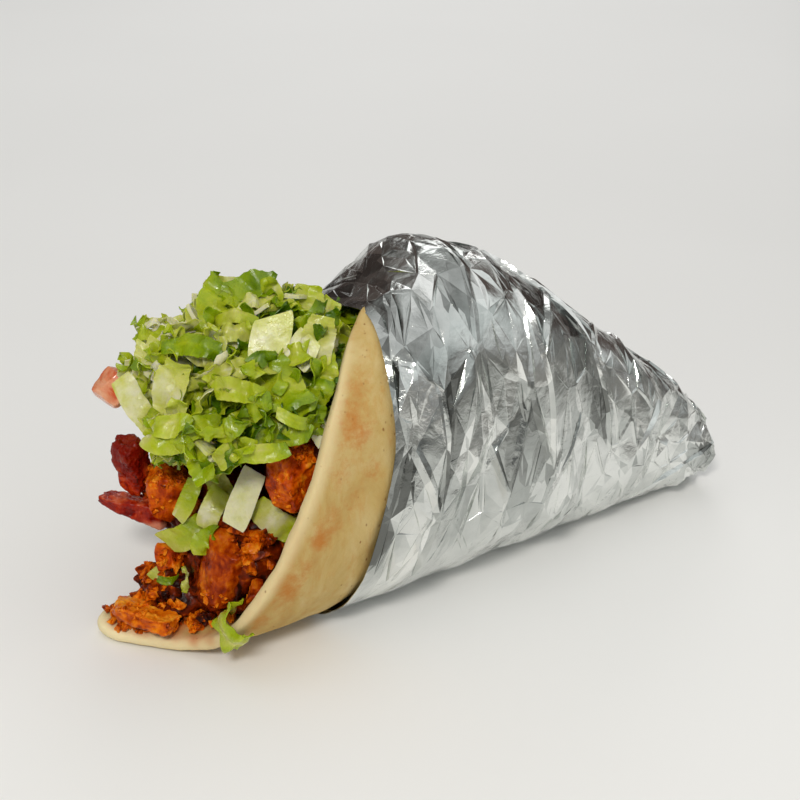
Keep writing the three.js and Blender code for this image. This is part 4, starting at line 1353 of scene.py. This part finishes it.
# Leaf pieces that can be picked out: kind, pixel of the photograph, length, width, which way the length lies
# in the picture in degrees, how far it faces the camera, tone at the rib and at the leafy end
PICKED_LEAVES = [
    ("blade", (220, 306), 16, 10, 92, 0.75, (0.4, 0.68)),
    ("blade", (252, 290), 15, 10, 25, 0.5, (0.6, 0.85)),
    ("frill", (272, 293), 10, 5, 95, 0.7, (0.35, 0.55)),
    ("frill", (266, 304), 17, 6, -8, 0.5, (0.2, 0.42)),
    ("frill", (236, 332), 12, 5, 20, 0.6, (0.18, 0.4)),
    ("blade", (310, 303), 11, 8, 85, 0.75, (0.08, 0.28)),
    ("blade", (334, 309), 12, 8, 75, 0.8, (0.1, 0.4)),
    ("frill", (331, 336), 12, 6, 70, 0.7, (0.1, 0.35)),
    ("frill", (328, 372), 14, 5, 75, 0.6, (0.35, 0.6)),
    ("blade", (319, 342), 15, 9, 80, 0.8, (0.06, 0.28)),
    ("frill", (296, 353), 9, 6, 0, 0.7, (0.4, 0.55)),
    ("blade", (286, 384), 18, 10, -55, 0.7, (0.42, 0.75)),
    ("frill", (292, 404), 14, 6, 25, 0.5, (0.45, 0.7)),
    ("blade", (197, 348), 22, 6, -8, 0.45, (0.5, 0.82)),
    ("frill", (167, 347), 16, 5, 10, 0.4, (0.3, 0.5)),
    ("frill", (140, 329), 12, 7, 30, 0.4, (0.3, 0.5)),
    ("frill", (150, 334), 10, 6, -10, 0.4, (0.3, 0.5)),
    ("strip", (147, 370), 14, 8, 85, 0.7, (0.05, 0.2), 3),
    ("blade", (172, 387), 16, 9, 80, 0.8, (0.06, 0.3), 3),
    ("strip", (140, 407), 21, 7, -60, 0.75, (0.06, 0.22), 3),
    ("frill", (229, 372), 14, 5, 8, 0.5, (0.15, 0.4)),
    ("frill", (238, 391), 16, 6, 15, 0.5, (0.28, 0.5)),
    ("frill", (189, 434), 21, 7, 8, 0.5, (0.38, 0.6)),
    ("frill", (170, 424), 13, 6, -15, 0.5, (0.3, 0.5)),
    ("frill", (249, 413), 19, 6, 10, 0.5, (0.3, 0.6)),
    ("frill", (228, 428), 15, 6, 5, 0.5, (0.4, 0.65)),
    ("blade", (322, 400), 15, 7, 65, 0.5, (0.5, 0.75)),
    ("blade", (318, 424), 12, 6, 58, 0.5, (0.5, 0.7)),
    ("frill", (290, 432), 13, 6, 20, 0.5, (0.45, 0.7)),
    ("ribbon", (262, 453), 16, 5, 20, 0.7, (0.28, 0.6), 4),
    ("ribbon", (166, 443), 16, 5, 0, 0.7, (0.22, 0.5)),
    ("ribbon", (211, 471), 22, 7, -50, 0.85, (0.22, 0.5), 4),
    ("blade", (200, 462), 12, 7, -60, 0.8, (0.3, 0.55), 3),
    ("frill", (235, 452), 14, 6, 15, 0.6, (0.35, 0.6), 3),
    ("strip", (275, 518), 15, 8, -45, 0.85, (0.0, 0.34), 6),
    ("frill", (287, 524), 9, 6, 50, 0.8, (0.05, 0.25), 5),
    ("strip", (189, 499), 14, 5, 62, 0.9, (0.2, 0.55), 4),
    ("strip", (214, 508), 13, 6.5, 70, 0.9, (0.08, 0.4), 4),
    ("strip", (190, 532), 17, 8, 30, 0.8, (0.3, 0.62), 4),
    ("frill", (207, 541), 10, 6, 60, 0.8, (0.35, 0.6), 4),
    ("blade", (186, 578), 9, 2, -80, 0.9, (0.25, 0.4)),
    ("ribbon", (170, 579), 8, 2.5, 0, 0.9, (0.6, 0.8)),
    ("rib", (272, 337), 11.5, 11, 85, 0.85, (0.16, 0.2), 4),
    ("rib", (248, 496), 17.5, 7.5, 68, 0.9, (0.0, 0.03), 12),
    ("rib", (303, 350), 9, 8, 60, 0.8, (0.04, 0.2)),
    ("rib", (157, 361), 11, 8, 75, 0.7, (0.02, 0.14)),
    ("rib", (157, 573), 4, 3.5, 40, 0.9, (0.15, 0.25)),
]
PICKED_STAND_OFF = 2.2
# Chicken, white rib, tomato and bare ground that no loose leaf hides: their centre, and half their width and
# height, in pixels of the photograph
KEPT_CLEAR = [
    ((296, 474), (29, 38)),
    ((128, 464), (24, 38)),
    ((170, 494), (25, 30)),
    ((248, 497), (22, 32)),
    ((235, 568), (44, 42)),
    ((272, 337), (15, 15)),
    ((108, 425), (32, 32)),
    ((108, 388), (14, 20)),
    ((158, 286), (38, 29)),
    ((250, 252), (64, 16)),
    ((316, 268), (40, 18)),
]


def outward_on_mound(place):
    out = (place - MOUND_CENTRE) / MOUND_RADII**2
    return out / np.linalg.norm(out)


def add_picked(heaps, draw):
    for kind, pixel, length, width, lie, facing, tones, *forward in PICKED_LEAVES:
        spot, _ = spot_in_view(pixel, filling_tree)
        if spot is None:
            continue
        way = view_right * math.cos(math.radians(lie)) + view_up * math.sin(math.radians(lie))
        out = facing * VIEW_BACK + (1 - facing) * outward_on_mound(spot)
        sheet = leaf_sheet(draw, length, width, LEAF_KINDS[kind], -0.5, draw.choice([-1, 1]), 0.5)
        place = spot + VIEW_BACK * (forward[0] if forward else PICKED_STAND_OFF)
        heaps[kind].add(draw, place, way, out, sheet, tones)


def add_loose(heaps, draw):
    golden = math.pi * (3 - math.sqrt(5))
    names = list(LEAF_KINDS)
    shares = [kind.share for kind in LEAF_KINDS.values()]
    for step in range(LOOSE_LEAVES):
        height = 1 - 2 * (step + 0.5) / LOOSE_LEAVES
        level_radius = math.sqrt(1 - height * height)
        turn = golden * step
        way_out = np.array([level_radius * math.cos(turn), level_radius * math.sin(turn), height])
        depth = draw.uniform(*LOOSE_DEPTHS)
        spot = MOUND_CENTRE + MOUND_RADII * way_out * (0.99 - depth)
        if spot[2] < lettuce_foot(spot) + 1:
            continue
        name = draw.choice(names, p=shares)
        kind = LEAF_KINDS[name]
        bends = draw.uniform(-1.3, 0.6), draw.choice([-1, 1]) * draw.uniform(0.4, 1.4), draw.uniform(0.3, 1.2)
        sheet = leaf_sheet(draw, draw.uniform(*kind.lengths), draw.uniform(*kind.widths), kind, *bends)
        # Leaves set deeper into the heap get a darker green, as painted shade.
        pale = draw.uniform(*LOOSE_TONES[draw.integers(len(LOOSE_TONES))]) + max(0, depth)
        across, down = pixels_of(spot[None])[0]
        pale += GREENER_BY[0] * (smoothstep(across, *GREENER_ACROSS) - GREENER_MIDDLE)
        pale += GREENER_BY[1] * smoothstep(down, *GREENER_DOWN)
        tones = (0.0, 0.05) if name == "rib" else (pale - 0.08, pale + draw.uniform(0.2, 0.5))
        facing = 0.7 * way_out + 0.8 * draw.normal(size=3)
        heaps[name].add(draw, spot, draw.normal(size=3), facing, sheet, tones, KEPT_CLEAR)


def lettuce_foot(place):
    """The height at which the lettuce ends and the chicken begins."""
    return CHICKEN_LEVEL - place[..., 1] * math.tan(LEVEL_TILT)


def make_lettuce():
    ball, ball_faces = ball_mesh(5)
    swell = CORE_SHARE + CORE_LUMPS * noise_at(ball, 0.3, 4.0)
    points = MOUND_CENTRE + ball * MOUND_RADII * swell[:, None]
    points[:, 2] = np.maximum(points[:, 2], lettuce_foot(points) + CORE_FOOT)
    core = new_piece("lettuce_shade_core", points, ball_faces.tolist())
    shade_smooth(core)
    place_piece(core, shadow_leaf_finish(), "lettuce", "lettuce_heap")
    leaf = lettuce_finish()
    draw = np.random.default_rng(7)
    frills, blades, ribs = LeafHeap(LEAF_THICKNESS), LeafHeap(LEAF_THICKNESS), LeafHeap(RIB_THICKNESS)
    heaps = {"frill": frills, "blade": blades, "ribbon": blades, "strip": blades, "rib": ribs}
    add_picked(heaps, draw)
    add_loose(heaps, draw)
    frills.make("lettuce_frills", leaf)
    blades.make("lettuce_blades", leaf)
    ribs.make("lettuce_ribs", leaf)
    make_scrap(leaf)


# The loose scrap, folded over the near rim of the bread, as in the solids
SCRAP_ANGLE = math.radians(-49)
SCRAP_SLANT = math.radians(2)
SCRAP_ARC = math.radians(9)
SCRAP_CLEARANCE = 1.4
SCRAP_OVERHANG = 2.0
SCRAP_LEG = 3.6
SCRAP_THICKNESS = 0.4
SCRAP_GRID = (36, 14)
SCRAP_RUFFLE = 0.9
SCRAP_WIDEN = 1.3
SCRAP_RIB = 0.09  # half width of its rib, as a share of its width
SCRAP_BEND = (0.3, 0.7)  # where along the scrap its bend starts and ends


def make_scrap(leaf):
    rows, columns = (np.linspace(0, 1, count) for count in SCRAP_GRID)
    along, across = np.meshgrid(rows, columns - 0.5, indexing="ij")
    start, end = SCRAP_BEND
    bend = math.pi * (np.clip((along - start) / (end - start), 0, 1) - 0.5)
    leg = SCRAP_LEG * np.maximum(0, np.maximum(start - along, along - end)) / start
    reach = PITA_THICKNESS / 2 + SCRAP_CLEARANCE
    inset = GAP + PITA_THICKNESS / 2 - reach * np.sin(bend)
    tooth = 0.16 * np.sin(21 * along) + 0.1 * np.sin(47 * along + 1.3)
    angle = SCRAP_ANGLE + SCRAP_SLANT * (along - 0.5) + SCRAP_WIDEN * SCRAP_ARC * across * (1 + tooth)
    x = pita_rim_x(angle) + leg - SCRAP_OVERHANG * np.cos(bend)
    grid = wrap_point(x, angle, inset)
    edge = np.abs(across) * 2
    normal = np.cross(np.gradient(grid, axis=0), np.gradient(grid, axis=1))
    normal /= np.linalg.norm(normal, axis=-1, keepdims=True) + 1e-9
    ruffle = edge * np.sin(26 * along + 2 * across) + 0.4 * np.sin(9 * across + 12 * along)
    vein = np.exp(-((across / SCRAP_RIB) ** 2))
    scrap = LeafHeap(SCRAP_THICKNESS)
    body, faces = thick_sheet(grid + normal * SCRAP_RUFFLE * ruffle[..., None], SCRAP_THICKNESS)
    scrap.join(body, faces, 0.25 + 0.2 * edge, vein)
    scrap.make("lettuce_loose_scrap", leaf, "lettuce_scrap")


TOMATO_VOXEL = 0.4
TOMATO_CUTS = 6
TOMATO_CUT_DEPTH = 3.2


def make_tomato():
    tomato = copy_of_solid("tomato_piece", "tomato_dice")
    apply_modifier(tomato, "REMESH", mode="VOXEL", voxel_size=TOMATO_VOXEL * MM)
    draw = np.random.default_rng(17)
    move_points(tomato, flat_cuts(points_of(tomato), draw, TOMATO_CUTS, TOMATO_CUT_DEPTH))
    apply_modifier(tomato, "SMOOTH", factor=0.5, iterations=3)
    points = points_of(tomato)
    ripple = 0.25 * noise_at(points, 3.5, 6.0) + 0.08 * noise_at(points, 1.2, 2.0)
    move_points(tomato, points + normals_of(tomato) * ripple[:, None])
    shade_smooth(tomato)
    place_piece(tomato, tomato_finish(), "tomato", "tomato_dice")


# Stage: floor, light and camera, in metres

FLOOR_SIZE = 8
LIGHT_TARGET = Vector((-0.03, 0, 0.04))


def make_stage():
    bpy.ops.object.select_all(action="DESELECT")
    bpy.ops.mesh.primitive_plane_add(size=FLOOR_SIZE)
    floor = bpy.context.object
    floor.name = "floor"
    finish = new_finish("pale_floor_painted_shade", Roughness=0.9)
    pale = ramp(finish, mottle(finish, 400), (0.3, colour(238, 237, 235)), (0.7, colour(242, 241, 239)))
    place = add_node(finish, "TexCoord", {}).outputs["Object"]
    # Painted shade: the floor falls off to grey on the side that the foil reflects.
    aside = add_node(finish, "VectorMath", {0: place, 1: PAINTED_FLOOR_SHADE_WAY}, operation="DOT_PRODUCT")
    away = level(finish, aside.outputs["Value"], *PAINTED_FLOOR_SHADE)
    tone = blend(finish, away, pale, colour(138, 136, 132))
    feed_shader(finish, Base_Color=tone)
    floor.data.materials.append(finish)


def add_softbox(name, place, size, power, tint=(1, 1, 1)):
    light = bpy.data.lights.new(name, "AREA")
    light.shape = "RECTANGLE"
    light.size, light.size_y = size
    light.energy = power
    light.color = tint
    lamp = bpy.data.objects.new(name, light)
    lamp.location = place
    lamp.rotation_euler = (LIGHT_TARGET - Vector(place)).to_track_quat("-Z", "Y").to_euler()
    bpy.context.collection.objects.link(lamp)


def make_light():
    world = bpy.data.worlds.new("studio")
    world.use_nodes = True
    bpy.context.scene.world = world
    towards = add_node(world, "TexCoord", {}).outputs["Generated"]
    aside = add_node(world, "SeparateXYZ", {"Vector": towards}).outputs
    front = ramp(world, aside["Z"], *[(place, (*tint, 1)) for place, tint in ROOM_FRONT])
    back = ramp(world, aside["Z"], *[(place, (*tint, 1)) for place, tint in ROOM_BACK])
    dimmed = blend(world, level(world, aside["X"], -0.6, 0.2), colour(178, 178, 178), colour(255, 255, 255))
    lit = blend(world, 1.0, front, dimmed, "MULTIPLY")
    room = blend(world, level(world, aside["Y"], -0.3, 0.25), lit, back)
    world.node_tree.links.new(room, world.node_tree.nodes["Background"].inputs["Color"])
    add_softbox("key_light", (-0.55, -0.65, 0.8), (0.18, 0.18), 6.0, (1.0, 0.97, 0.92))
    add_softbox("far_fill", (0.5, 0.8, 0.6), (0.5, 0.4), 1.5)


def make_camera():
    camera = bpy.data.objects.new("camera", bpy.data.cameras.new("camera"))
    camera.data.lens = LENS
    camera.data.sensor_width = SENSOR
    camera.data.clip_start = 0.01
    camera.location = ((view_from + WRAP_SHIFT) * MM).tolist()
    camera.rotation_euler = Vector(view_forward).to_track_quat("-Z", "Y").to_euler()
    bpy.context.collection.objects.link(camera)
    bpy.context.scene.camera = camera
    bpy.context.scene.view_settings.view_transform = "Standard"


make_camera()
make_stage()
make_light()
make_foil()
make_pita()
make_chicken_heap(make_chicken_pieces())
make_lettuce()
make_tomato()
